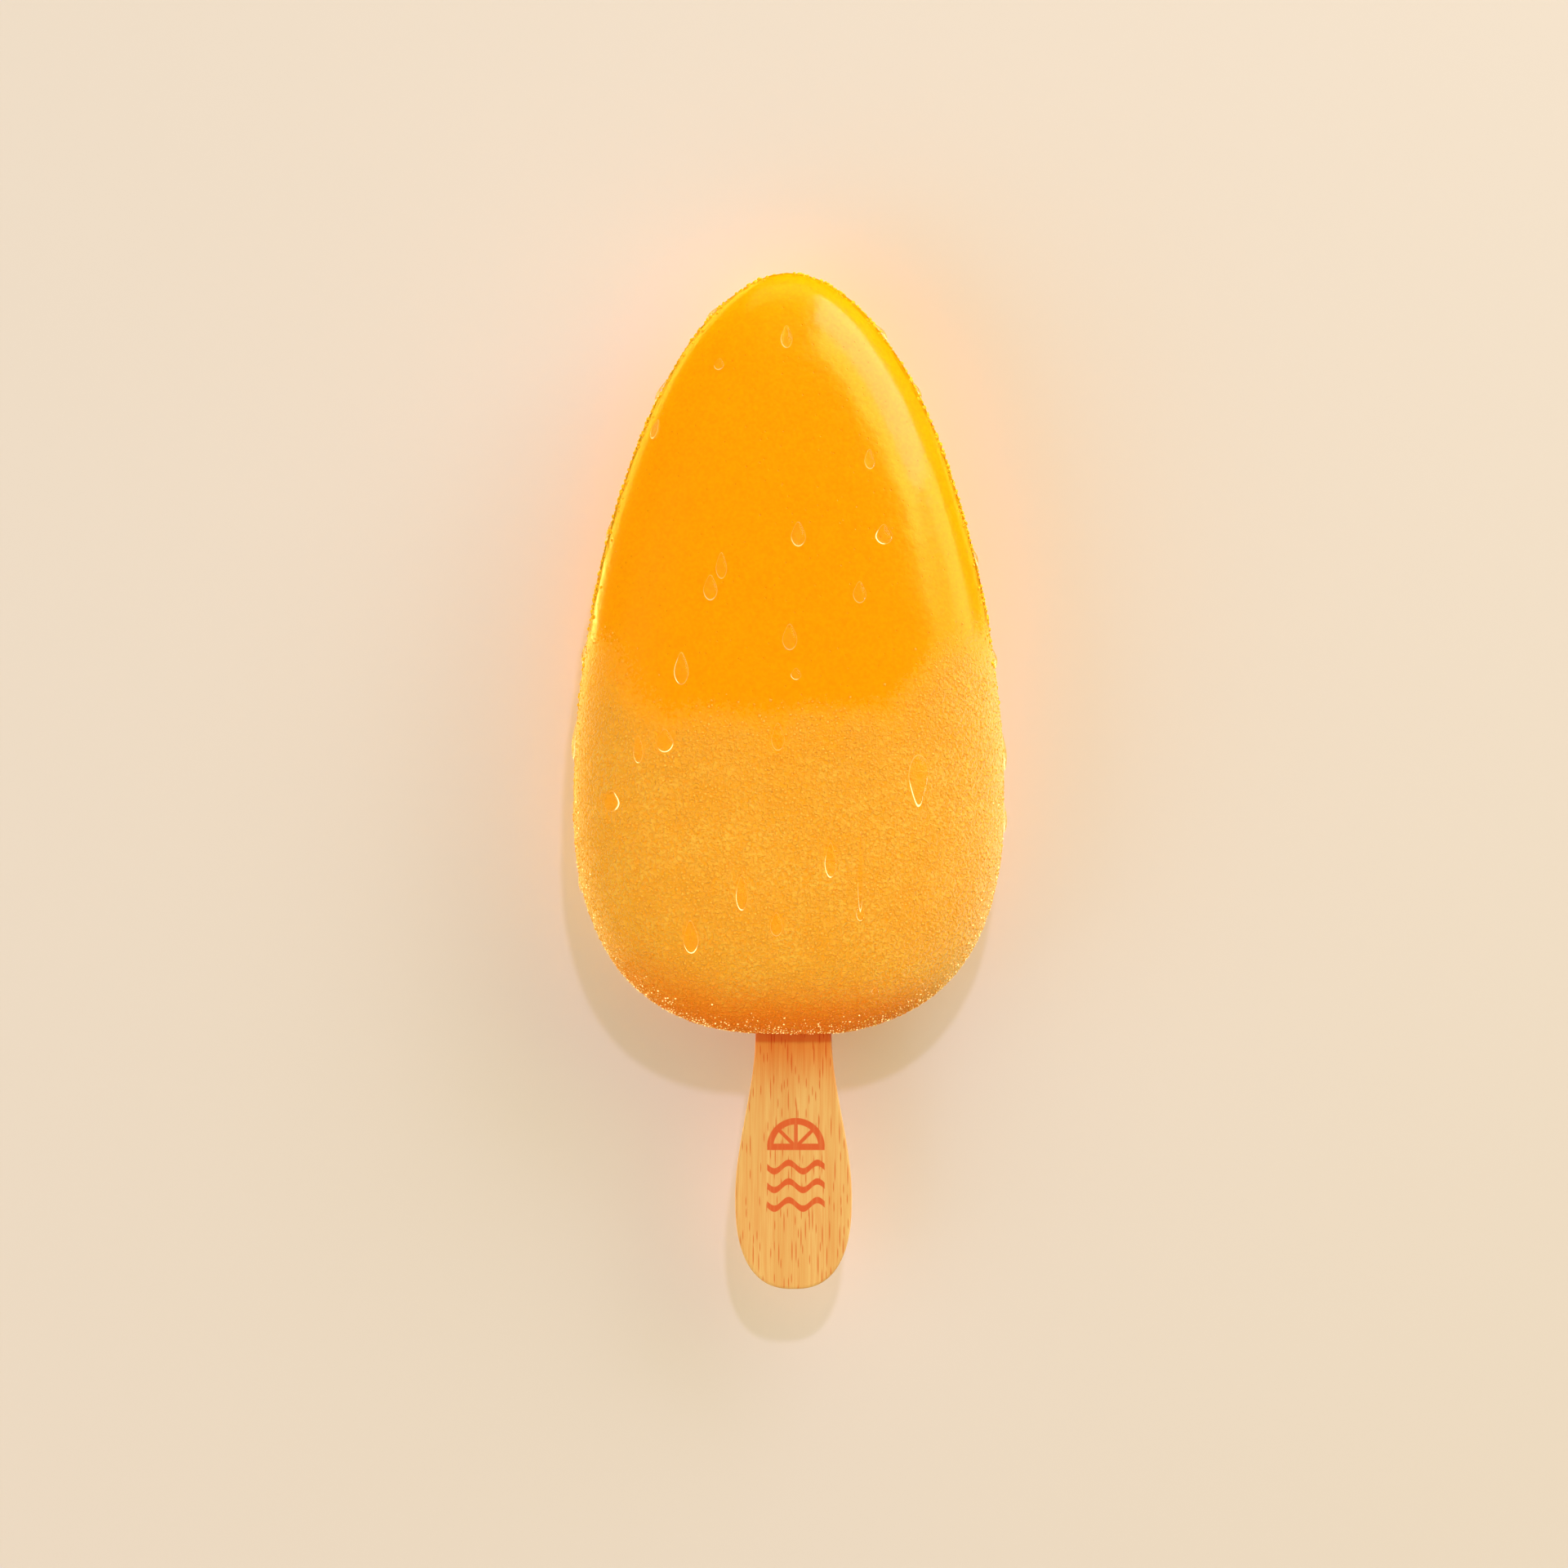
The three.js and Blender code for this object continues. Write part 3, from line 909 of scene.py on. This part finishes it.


# %% [markdown]
# The base of the ice is painted deeper and redder than the rest: painted shade, where the ice
# turns away from the light. On the left this starts higher. A share from 0 to 1 says where, for the
# skin and for the grains on it.

# %% Name the colours of the ice
WET_ORANGE = (0.84, 0.34, 0.0003, 1)
WET_DEEP = (0.82, 0.305, 0.0002, 1)
FROSTED_ORANGE = (0.85, 0.335, 0.014, 1)
PALE_FROST = (0.88, 0.46, 0.08, 1)
# The colour of the painted shade in the small pits.
PIT_SHADE_ORANGE = (0.62, 0.2, 0.005, 1)
BEAD_GOLD = (0.9, 0.55, 0.03, 1)
CRYSTAL_WHITE = (1.0, 0.86, 0.62, 1)
SPARK_GOLD = (1.0, 0.74, 0.38, 1)
# Painted shade: this tint makes the base deeper and redder.
BASE_SHADE_TINT = (1.0, 0.52, 0.16, 1)
WARM_GLOSS = (1.0, 0.86, 0.55, 1)
BLACK = (0, 0, 0, 1)
# Where the painted shade of the base ends and where it starts.
BASE_SHADE_ENDS = ICE_END_Y + 0.5 * MM
BASE_SHADE_STARTS = ICE_END_Y + 9 * MM
BASE_SHADE_STARTS_LEFT = ICE_END_Y + 15 * MM


def base_shade_share(tree, place):
    """0 on the ice, and 1 at its base, where shade is painted."""
    axis = axes_of(tree, place)
    start = smooth(tree, axis["X"], -6 * MM, -22 * MM, BASE_SHADE_STARTS, BASE_SHADE_STARTS_LEFT)
    return smooth(tree, axis["Y"], start, BASE_SHADE_ENDS)


def painted_base_shade(tree, place, color):
    """The colour with painted shade: deeper and redder towards the base."""
    return tinted(tree, base_shade_share(tree, place), color, BASE_SHADE_TINT)


# %% [markdown]
# The skin mixes three things by the frost: its colour, its roughness and its relief. The colour is
# made ragged by the grain, so that the frost's edge isn't airbrushed. The subsurface, the sheen, the
# specular level and the grain's strength follow the plain attribute, here called `even_frost`, and
# not the group. A clear coat gives the wet part its gloss, and a sheen gives the frost its pale bloom
# at the rim.

# %% Finish the fruit ice
def color_of_ice(tree, place, cover, frost, grain, patches, pits):
    """The wet orange, the mottled frost with its grain partly painted shade, and painted shade in the
    small pits in both and at the base.
    """
    # The grain's paler bits: partly the frost's own tone, partly painted shade of its relief.
    grain_tone_and_shade = maths(tree, "MULTIPLY", grain, smooth(tree, cover, 0.5, 0.95, 0.3, 1.0))
    grainy = blend(tree, grain_tone_and_shade, FROSTED_ORANGE, PALE_FROST)
    mottled = blend(tree, smooth(tree, patches, 0, 1, 1.0, 0.4), FROSTED_ORANGE, grainy)
    speckle = smooth(tree, noise(tree, place, 0.45 * MM), 0.3, 0.7)
    color = blend(tree, frost, blend(tree, speckle, WET_DEEP, WET_ORANGE), mottled)
    # Painted shade: the pits are painted darker.
    color = blend(tree, smooth(tree, pits, 0, 1, 0.45, 0.0), color, PIT_SHADE_ORANGE)
    return painted_base_shade(tree, place, color)


def relief_of_ice(tree, place, even_frost, grain, pits):
    """Ripples all over, pits in them, and the grain where the frost is."""
    ripple = bumps(tree, noise(tree, place, 1.5 * MM, 4.0), 0.7, 0.16 * MM)
    pitted = bumps(tree, pits, 0.6, 0.08 * MM, ripple)
    return bumps(tree, grain, maths(tree, "MULTIPLY", even_frost, 0.9), 0.21 * MM, pitted)


def finish_fruit_ice(material):
    """Translucent ice, glossy where it is wet and dull where it is frosted."""
    tree, shader = use_nodes(material)
    place = place_on(tree)
    cover = value_of(tree, "frost")
    pattern = frost_pattern(tree)
    grain = pattern["Grain"]
    ragged = maths(tree, "MULTIPLY_ADD", maths(tree, "SUBTRACT", grain, 0.5), 0.2, cover)
    frost = smooth(tree, ragged, 0.02, 0.72)
    even_frost = smooth(tree, cover, 0.02, 0.72)
    cells = put(tree, "ShaderNodeTexVoronoi", {"Vector": place, "Scale": 1 / (1.1 * MM)})
    pits = smooth(tree, cells.outputs["Distance"], 0.05, 0.13)
    bloom = smooth(tree, base_shade_share(tree, place), 0, 0.7, 0.65, 0.0)
    finish = {
        "Base Color": color_of_ice(tree, place, cover, frost, grain, pattern["Patches"], pits),
        "Roughness": smooth(tree, frost, 0.0, 0.6, 0.22, 0.5),
        "Normal": relief_of_ice(tree, place, even_frost, grain, pits),
        "Subsurface Weight": smooth(tree, even_frost, 0, 1, 0.7, 0.2),
        "Subsurface Radius": (1.0, 0.25, 0.03),
        "Subsurface Scale": 6 * MM,
        "Coat Weight": smooth(tree, frost, 0.0, 0.5, 0.8, 0.0),
        "Coat Roughness": 0.16,
        "Coat IOR": 1.5,
        "Sheen Weight": maths(tree, "MULTIPLY", even_frost, bloom),
        "Sheen Roughness": 0.4,
        "Sheen Tint": (1.0, 0.92, 0.8, 1),
        "Specular IOR Level": smooth(tree, even_frost, 0, 1, 0.5, 0.8),
        "Specular Tint": WARM_GLOSS,
    }
    feed(tree, shader, finish)
    print(f"{material.name}: {len(tree.nodes)} nodes")


fruit_ice = bpy.data.materials.new("fruit ice")
finish_fruit_ice(fruit_ice)
ice.data.materials.clear()
ice.data.materials.append(fruit_ice)

# %% [markdown]
# The grains have the colours of the frost around them. The beads are wet ice and shine. The
# crystals are clear on the real pop and send light on by bending it, which takes a renderer very
# long on thousands of small balls, so here they are pale and a few of them glow a little.

# %% Finish the grains, beads and crystals
def finish_frost_grain(material):
    """Dull grains in the colours of the frost, with the painted shade of the base."""
    tree, shader = use_nodes(material)
    pattern = frost_pattern(tree)
    color = blend(tree, pattern["Patches"], FROSTED_ORANGE, PALE_FROST)
    finish = {
        "Base Color": painted_base_shade(tree, place_on(tree), color),
        "Roughness": smooth(tree, pattern["Grain"], 0, 1, 0.35, 0.6),
    }
    feed(tree, shader, finish)
    print(f"{material.name}: {len(tree.nodes)} nodes")


def finish_ice_bead(material):
    """Shiny beads in the colours of the wet ice."""
    tree, shader = use_nodes(material)
    place = place_on(tree)
    finish = {
        "Base Color": blend(tree, noise(tree, place, 0.6 * MM), WET_ORANGE, BEAD_GOLD),
        "Roughness": smooth(tree, noise(tree, place, 0.3 * MM), 0, 1, 0.1, 0.3),
        "Specular Tint": WARM_GLOSS,
    }
    feed(tree, shader, finish)
    print(f"{material.name}: {len(tree.nodes)} nodes")


def finish_clear_frost(material):
    """Pale crystals, some of which spark."""
    tree, shader = use_nodes(material)
    grain = frost_pattern(tree)["Grain"]
    finish = {
        "Base Color": blend(tree, grain, PALE_FROST, CRYSTAL_WHITE),
        "Emission Color": blend(tree, smooth(tree, grain, 0.4, 0.75), BLACK, SPARK_GOLD),
        "Emission Strength": 0.6,
        "Roughness": 0.12,
    }
    feed(tree, shader, finish)
    print(f"{material.name}: {len(tree.nodes)} nodes")


finish_frost_grain(frost_grain)
finish_ice_bead(ice_bead)
finish_clear_frost(clear_frost)

# %% [markdown]
# ## The finish of the water
#
# Water is clear: the shader lets light through and bends it. Cycles finds light under glass only
# slowly, so rays that look for light pass straight through, and the ice under a drop stays lit.
#
# Two painted highlights, which the water gives off as light, are drawn by where a point lies on its
# own drop, which the tree kept as `own_place`: the bright arc of each drop, on the side that its row
# names, and a faint bright ring low down.

# %% Clear the water
STRAIGHT_SHARE = 0.45
RING_STRENGTH = 0.16


def painted_glint_of_water(tree):
    """How brightly each point of a drop glows with its painted highlight."""
    own = put(tree, "ShaderNodeAttribute", attribute_name="own_place").outputs["Vector"]
    own = axes_of(tree, own)
    side = value_of(tree, "glint_side")
    toward_x = maths(tree, "MULTIPLY", own["X"], maths(tree, "COSINE", side))
    toward = maths(tree, "MULTIPLY_ADD", own["Y"], maths(tree, "SINE", side), toward_x)
    bands = []
    for top, full_below, full_above, bottom in ((0.46, 0.36, 0.24, 0.14), (0.36, 0.26, 0.2, 0.12)):
        below = smooth(tree, own["Z"], top, full_below)
        bands.append(maths(tree, "MULTIPLY", below, smooth(tree, own["Z"], bottom, full_above)))
    arc = maths(tree, "MULTIPLY", bands[0], smooth(tree, toward, 0.35, 0.8))
    ring = maths(tree, "MULTIPLY", bands[1], RING_STRENGTH)
    return maths(tree, "MULTIPLY_ADD", arc, value_of(tree, "glint"), ring)


def finish_melt_water(material):
    """Clear water that lets light through to the ice, and glows with painted highlights."""
    tree, shader = use_nodes(material)
    place = place_on(tree)
    tint = blend(tree, noise(tree, place, 1.5 * MM), (1, 0.97, 0.9, 1), (1, 1, 1, 1))
    finish = {
        "Transmission Weight": 1.0,
        "IOR": 1.33,
        "Base Color": tint,
        "Roughness": smooth(tree, noise(tree, place, 0.8 * MM), 0, 1, 0.0, 0.06),
        # Painted highlights: the water glows in its arcs and ring.
        "Emission Color": blend(tree, painted_glint_of_water(tree), BLACK, (1.0, 0.84, 0.5, 1)),
        "Emission Strength": 2.2,
    }
    feed(tree, shader, finish)
    path = put(tree, "ShaderNodeLightPath").outputs
    seeks_light = maths(tree, "MAXIMUM", path["Is Shadow Ray"], path["Is Diffuse Ray"])
    straight = maths(tree, "MAXIMUM", seeks_light, STRAIGHT_SHARE)
    clear = put(tree, "ShaderNodeBsdfTransparent", {"Color": (1, 0.98, 0.94, 1)})
    both = put(tree, "ShaderNodeMixShader", {0: straight, 1: shader, 2: clear})
    feed(tree, tree.nodes["Material Output"], {"Surface": both})
    print(f"{material.name}: {len(tree.nodes)} nodes")


finish_melt_water(melt_water)

# %% [markdown]
# ## The finish of the stick
#
# Steamed beech has straight fine grain and short dark rays, 1 to 3 mm long and a fifth of a
# millimetre wide. Both are textures stretched along the stick. The rays show only on the two flat
# faces, because a sawn board shows them there. Near the ice the wood is painted darker and oranger:
# partly juice soaking into it, partly painted orange light from the ice. Its first millimetre gets a
# painted shadow of the ice, darker still. The handle carries a small printed ornament, half a slice
# of citrus over three waves.

# %% Draw the grain of the beech
WOOD_LIGHT = (0.66, 0.41, 0.235, 1)
WOOD_DARK = (0.62, 0.34, 0.175, 1)
WOOD_LINE = (0.6, 0.24, 0.1, 1)
WOOD_RAY = (0.54, 0.11, 0.03, 1)


def drawn_out(tree, place, across, along):
    """The place, squeezed so that a pattern comes out so wide across the stick and so long."""
    scale = (1 / across, 1 / along, 1 / across)
    return put(tree, "ShaderNodeMapping", {"Vector": place, "Scale": scale})


def streaks(tree, place, across, along, detail):
    """Noise drawn out along the stick."""
    return noise(tree, drawn_out(tree, place, across, along), 1.0, detail)


def rays(tree, place, across, along, rarity):
    """Short dark dashes, a fifth of a cell wide: 1 in the middle of a dash, 0 between dashes."""
    feeds = {"Vector": drawn_out(tree, place, across, along), "Scale": 1.0}
    cells = put(tree, "ShaderNodeTexVoronoi", feeds, voronoi_dimensions="2D").outputs
    chosen = put(tree, "ShaderNodeSeparateColor", {0: cells["Color"]}).outputs[0]
    here = maths(tree, "GREATER_THAN", chosen, rarity)
    return maths(tree, "MULTIPLY", smooth(tree, cells["Distance"], 0.2, 0.09), here)


# %% [markdown]
# The ornament is drawn by arithmetic, with no image. For each line of it a few nodes work out how
# far a point lies from the line, and `stroke` turns that into ink. All its sizes are in millimetres
# from the middle of the slice's cut side.

# %% Draw the ornament
PRINT_INK = (0.57, 0.085, 0.035, 1)
PRINT_MIDDLE = (STICK_X + 0.3 * MM, ICE_END_Y - 14.5 * MM, MIDDLE_Z)
PEN_HALF = 0.42
SPOKE_HALF = 0.24
PEN_BLUR = 0.06
SLICE_RADIUS = 3.3
SPOKE_ANGLES = (45, 90, 135)
PRINT_HALF_WIDTH = 3.7
WAVES_BELOW = (2.6, 5.0, 7.4)
WAVE_HEIGHT = 0.55
WAVE_TURN = 1.7  # radians for each millimetre


def stroke(tree, distance, half):
    """1 within half a pen's width of a line, 0 outside."""
    return smooth(tree, distance, half + PEN_BLUR, half - PEN_BLUR)


def slice_ink(tree, x, y):
    """Half a slice: its rind and its spokes, above the cut side."""
    squares = maths(tree, "MULTIPLY_ADD", x, x, maths(tree, "MULTIPLY", y, y))
    from_centre = maths(tree, "SQRT", squares)
    from_rind = maths(tree, "ABSOLUTE", maths(tree, "SUBTRACT", from_centre, SLICE_RADIUS))
    ink = stroke(tree, from_rind, PEN_HALF)
    inside = stroke(tree, from_centre, SLICE_RADIUS)
    for angle in SPOKE_ANGLES:
        turn = math.radians(angle)
        across = maths(tree, "MULTIPLY", x, math.sin(turn))
        across = maths(tree, "ABSOLUTE", maths(tree, "MULTIPLY_ADD", y, -math.cos(turn), across))
        spoke = maths(tree, "MULTIPLY", stroke(tree, across, SPOKE_HALF), inside)
        ink = maths(tree, "MAXIMUM", ink, spoke)
    return maths(tree, "MULTIPLY", ink, smooth(tree, y, -PEN_BLUR, PEN_BLUR))


def print_ornament(tree, place):
    """The slice, its cut side and three waves, on the upper face of the handle: 1 on the ink."""
    feeds = {0: place, 1: PRINT_MIDDLE}
    from_middle = put(tree, "ShaderNodeVectorMath", feeds, operation="SUBTRACT")
    feeds = {0: from_middle, "Scale": 1 / MM}
    axis = axes_of(tree, put(tree, "ShaderNodeVectorMath", feeds, operation="SCALE"))
    x, y = axis["X"], axis["Y"]
    ink = slice_ink(tree, x, y)
    inside = stroke(tree, maths(tree, "ABSOLUTE", x), PRINT_HALF_WIDTH)
    swell = maths(tree, "SINE", maths(tree, "MULTIPLY", x, WAVE_TURN))
    swell = maths(tree, "MULTIPLY", swell, WAVE_HEIGHT)
    lines = [y] + [maths(tree, "ADD", maths(tree, "ADD", y, down), swell) for down in WAVES_BELOW]
    for from_line in lines:
        line = stroke(tree, maths(tree, "ABSOLUTE", from_line), PEN_HALF)
        ink = maths(tree, "MAXIMUM", ink, maths(tree, "MULTIPLY", line, inside))
    below = maths(tree, "MULTIPLY", axis["Z"], -1.0)
    return maths(tree, "MULTIPLY", ink, stroke(tree, below, 0.0))


# %% Finish the beech
# Painted orange light from the ice with some juice soaking in, then the painted shadow of the ice.
SOAK_AND_ICE_LIGHT_LENGTH = 9 * MM
SOAK_AND_ICE_LIGHT_TINT = (1.0, 0.56, 0.26, 1)
SHADE_ENDS = (-1.2 * MM, -0.8 * MM)
SHADE_TINT = (0.94, 0.6, 0.53, 1)


def finish_beech(material):
    """Grained, rayed and printed wood, with juice soaking in, painted orange light and a painted
    shadow near the ice.
    """
    tree, shader = use_nodes(material)
    place = place_on(tree)
    broad = streaks(tree, place, 1.6 * MM, 26 * MM, 2.0)
    fine = streaks(tree, place, 0.2 * MM, 7 * MM, 3.0)
    color = blend(tree, smooth(tree, broad, 0.3, 0.7), WOOD_DARK, WOOD_LIGHT)
    color = blend(tree, smooth(tree, fine, 0.6, 0.36, 0.0, 0.5), color, WOOD_LINE)
    long_rays = rays(tree, place, 0.55 * MM, 9 * MM, 0.5)
    short_rays = rays(tree, place, 0.45 * MM, 4.2 * MM, 0.55)
    outward = put(tree, "ShaderNodeNewGeometry").outputs["Normal"]
    facing = maths(tree, "ABSOLUTE", axes_of(tree, outward)["Z"])
    on_faces = smooth(tree, facing, 0.5, 0.9, 0.0, 0.75)
    dashes = maths(tree, "MULTIPLY", maths(tree, "MAXIMUM", long_rays, short_rays), on_faces)
    color = blend(tree, dashes, color, WOOD_RAY)
    worn = smooth(tree, fine, 0.3, 0.5, 0.8, 0.97)
    ink = maths(tree, "MULTIPLY", print_ornament(tree, place), worn)
    color = blend(tree, ink, color, PRINT_INK)

    along = axes_of(tree, place)["Y"]
    # Darker and oranger near the ice: partly juice soaking in, partly painted orange light from the
    # ice.
    soak_and_ice_light = smooth(tree, along, ICE_END_Y - SOAK_AND_ICE_LIGHT_LENGTH, ICE_END_Y)
    color = tinted(tree, soak_and_ice_light, color, SOAK_AND_ICE_LIGHT_TINT)
    # Painted shadow of the ice on the stick's first millimetre.
    shade = smooth(tree, along, *(ICE_END_Y + end for end in SHADE_ENDS))
    finish = {
        "Base Color": tinted(tree, shade, color, SHADE_TINT),
        "Roughness": 0.6,
        "Specular IOR Level": 0.3,
        "Normal": bumps(tree, fine, 0.25, 0.05 * MM),
    }
    feed(tree, shader, finish)
    print(f"{material.name}: {len(tree.nodes)} nodes")


beech = bpy.data.materials.new("beech")
finish_beech(beech)
stick.data.materials.append(beech)

# %% [markdown]
# ## Tie the pieces to the model
#
# Each piece rides on the model's one body. The solids of the ice and the stick stay for collisions
# and aren't shown.

# %% Tie the pieces
for piece, slot in (
    (ice, "fruit_ice"),
    (water, "melt_water"),
    (grains, "frost"),
    (beads, "fruit_ice"),
    (crystals, "frost"),
    (stick, "beech"),
):
    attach(piece, "root")
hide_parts("fruit_ice")
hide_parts("stick")
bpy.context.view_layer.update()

# %% [markdown]
# ## The studio
#
# The pop lies on a pale floor, in light as soft as a window's. A large softbox at the upper right
# draws the bright band down the right flank, and a narrow one above it gives that band its inner
# edge. Translucent ice glows from within, so most of the light comes from low down, through the
# ice. Some lights stand lower than the floor: it lets light through, so they reach the rims, which
# would be dark otherwise. A small light near the camera gives the shadow of the ice on the stick.
#
# A light can be left out of reflections or out of diffuse light. That is how a glow leaves no
# second highlight on the wet face, and how a rim gets its shine without a patch of light.

# %% Lay the floor
def lay_floor(half=1.5):
    """A pale floor that catches shadows, but gives the pop no light and no reflection."""
    corners = [(-half, -half, 0), (half, -half, 0), (half, half, 0), (-half, half, 0)]
    mesh = bpy.data.meshes.new("floor")
    mesh.from_pydata(corners, [], [(0, 1, 2, 3)])
    floor = new_object("floor", mesh)
    material = bpy.data.materials.new("pale floor")
    tree, shader = use_nodes(material)
    feed(tree, shader, {"Base Color": (0.6, 0.55, 0.88, 1), "Roughness": 0.8})
    mesh.materials.append(material)
    floor.visible_diffuse = False
    floor.visible_glossy = False
    floor.visible_shadow = False
    print("floor:", 2 * half, "m wide")


lay_floor()

# %% Hang the lights
LIGHT_DISTANCE = 0.8
WHITE = (1.0, 0.93, 0.8)
YELLOW = (1.0, 0.95, 0.2)
GOLD = (1.0, 0.9, 0.1)
AMBER = (1.0, 0.6, 0.25)
ORANGE = (1.0, 0.42, 0.12)
SOFT = (0.55, 0.55)
FULL = (True, True)  # seen in reflections, and in diffuse light
SHINE = (True, False)
GLOW = (False, True)

# Each row: azimuth (0 to the right, 90 to the tip), elevation, size, power, colour and kind.
LIGHTS = {
    "softbox": (50, 17, (0.78, 0.62), 4.1, WHITE, FULL),
    "softbox edge": (47, 46, (0.7, 0.2), 1.5, YELLOW, SHINE),
    "right side": (12, 8, (0.34, 0.4), 2.3, ORANGE, SHINE),
    "right rim": (-15, -12, (0.4, 0.25), 3.9, WHITE, SHINE),
    "left rim": (190, -42, (0.45, 0.4), 4.9, ORANGE, SHINE),
    "upper left rim": (145, -48, (0.7, 0.4), 0.85, GOLD, SHINE),
    "low right rim": (5, -50, (0.4, 0.3), 0.22, GOLD, SHINE),
    "tip side": (95, 0, (0.45, 0.4), 0.4, YELLOW, FULL),
    "left glow": (135, -50, SOFT, 11.0, YELLOW, GLOW),
    "right glow": (45, -25, SOFT, 9.6, WHITE, GLOW),
    "tip glow": (90, -25, SOFT, 5.8, WHITE, GLOW),
    "left low": (180, -25, SOFT, 1.1, WHITE, GLOW),
    "right fill": (10, 34, (0.35, 0.35), 0.55, YELLOW, FULL),
    "upper fill": (45, 35, SOFT, 0.5, YELLOW, GLOW),
    "left fill": (190, 35, SOFT, 1.0, WHITE, GLOW),
    "low fill": (225, 35, SOFT, 1.0, WHITE, GLOW),
    "tip fill": (92, 28, SOFT, 0.5, YELLOW, GLOW),
    "base fill": (270, 38, SOFT, 1.3, AMBER, GLOW),
    "front": (78, 64, (0.04, 0.04), 1.3, WHITE, GLOW),
}


def hang_light(name, azimuth, elevation, size, power, color, kind):
    """An area light aimed at the middle of the ice."""
    data = bpy.data.lights.new(name, "AREA")
    data.shape = "RECTANGLE"
    data.size, data.size_y = size
    data.energy = power
    data.color = color
    lamp = bpy.data.objects.new(name, data)
    bpy.context.scene.collection.objects.link(lamp)
    turn, rise = math.radians(azimuth), math.radians(elevation)
    level = math.cos(rise)
    way = Vector((math.cos(turn) * level, math.sin(turn) * level, math.sin(rise)))
    aim = Vector((0, TIP_Y - ICE_LENGTH / 2, MIDDLE_Z))
    lamp.location = aim + way * LIGHT_DISTANCE
    lamp.rotation_euler = way.to_track_quat("Z", "Y").to_euler()
    lamp.visible_camera = False
    lamp.visible_glossy, lamp.visible_diffuse = kind


for name, values in LIGHTS.items():
    hang_light(name, *values)
print(len(LIGHTS), "lights")

# %% [markdown]
# The sky round the studio is a dim warm yellow, which fills the shadows. It isn't seen in
# reflections. The view transform is the plain one, so that the colours stay as bright as they are.
#
# The camera looks straight down through a long lens, as the picture was taken square on. From that
# far away a lens of 200 mm sees a strip of the width `FRAME_SPAN`.

# %% Light the sky and set the camera
world = bpy.data.worlds.new("studio")
bpy.context.scene.world = world
world.use_nodes = True
world.cycles_visibility.glossy = False
sky = world.node_tree.nodes["Background"]
feed(world.node_tree, sky, {"Color": (1, 0.94, 0.28, 1), "Strength": 0.73})
bpy.context.scene.view_settings.view_transform = "Standard"

FRAME_SPAN = 201.9 * MM
LENS = 200
FRAME_MIDDLE = (-0.63 * MM, -0.42 * MM)
camera_data = bpy.data.cameras.new("camera")
camera_data.lens = LENS
camera_data.clip_start = 0.05
camera_data.clip_end = 10
camera = bpy.data.objects.new("camera", camera_data)
bpy.context.scene.collection.objects.link(camera)
distance = FRAME_SPAN * LENS / camera_data.sensor_width
camera.location = (*FRAME_MIDDLE, MIDDLE_Z + distance)
bpy.context.scene.camera = camera
print(f"camera {distance:.3f} m above the middle plane")
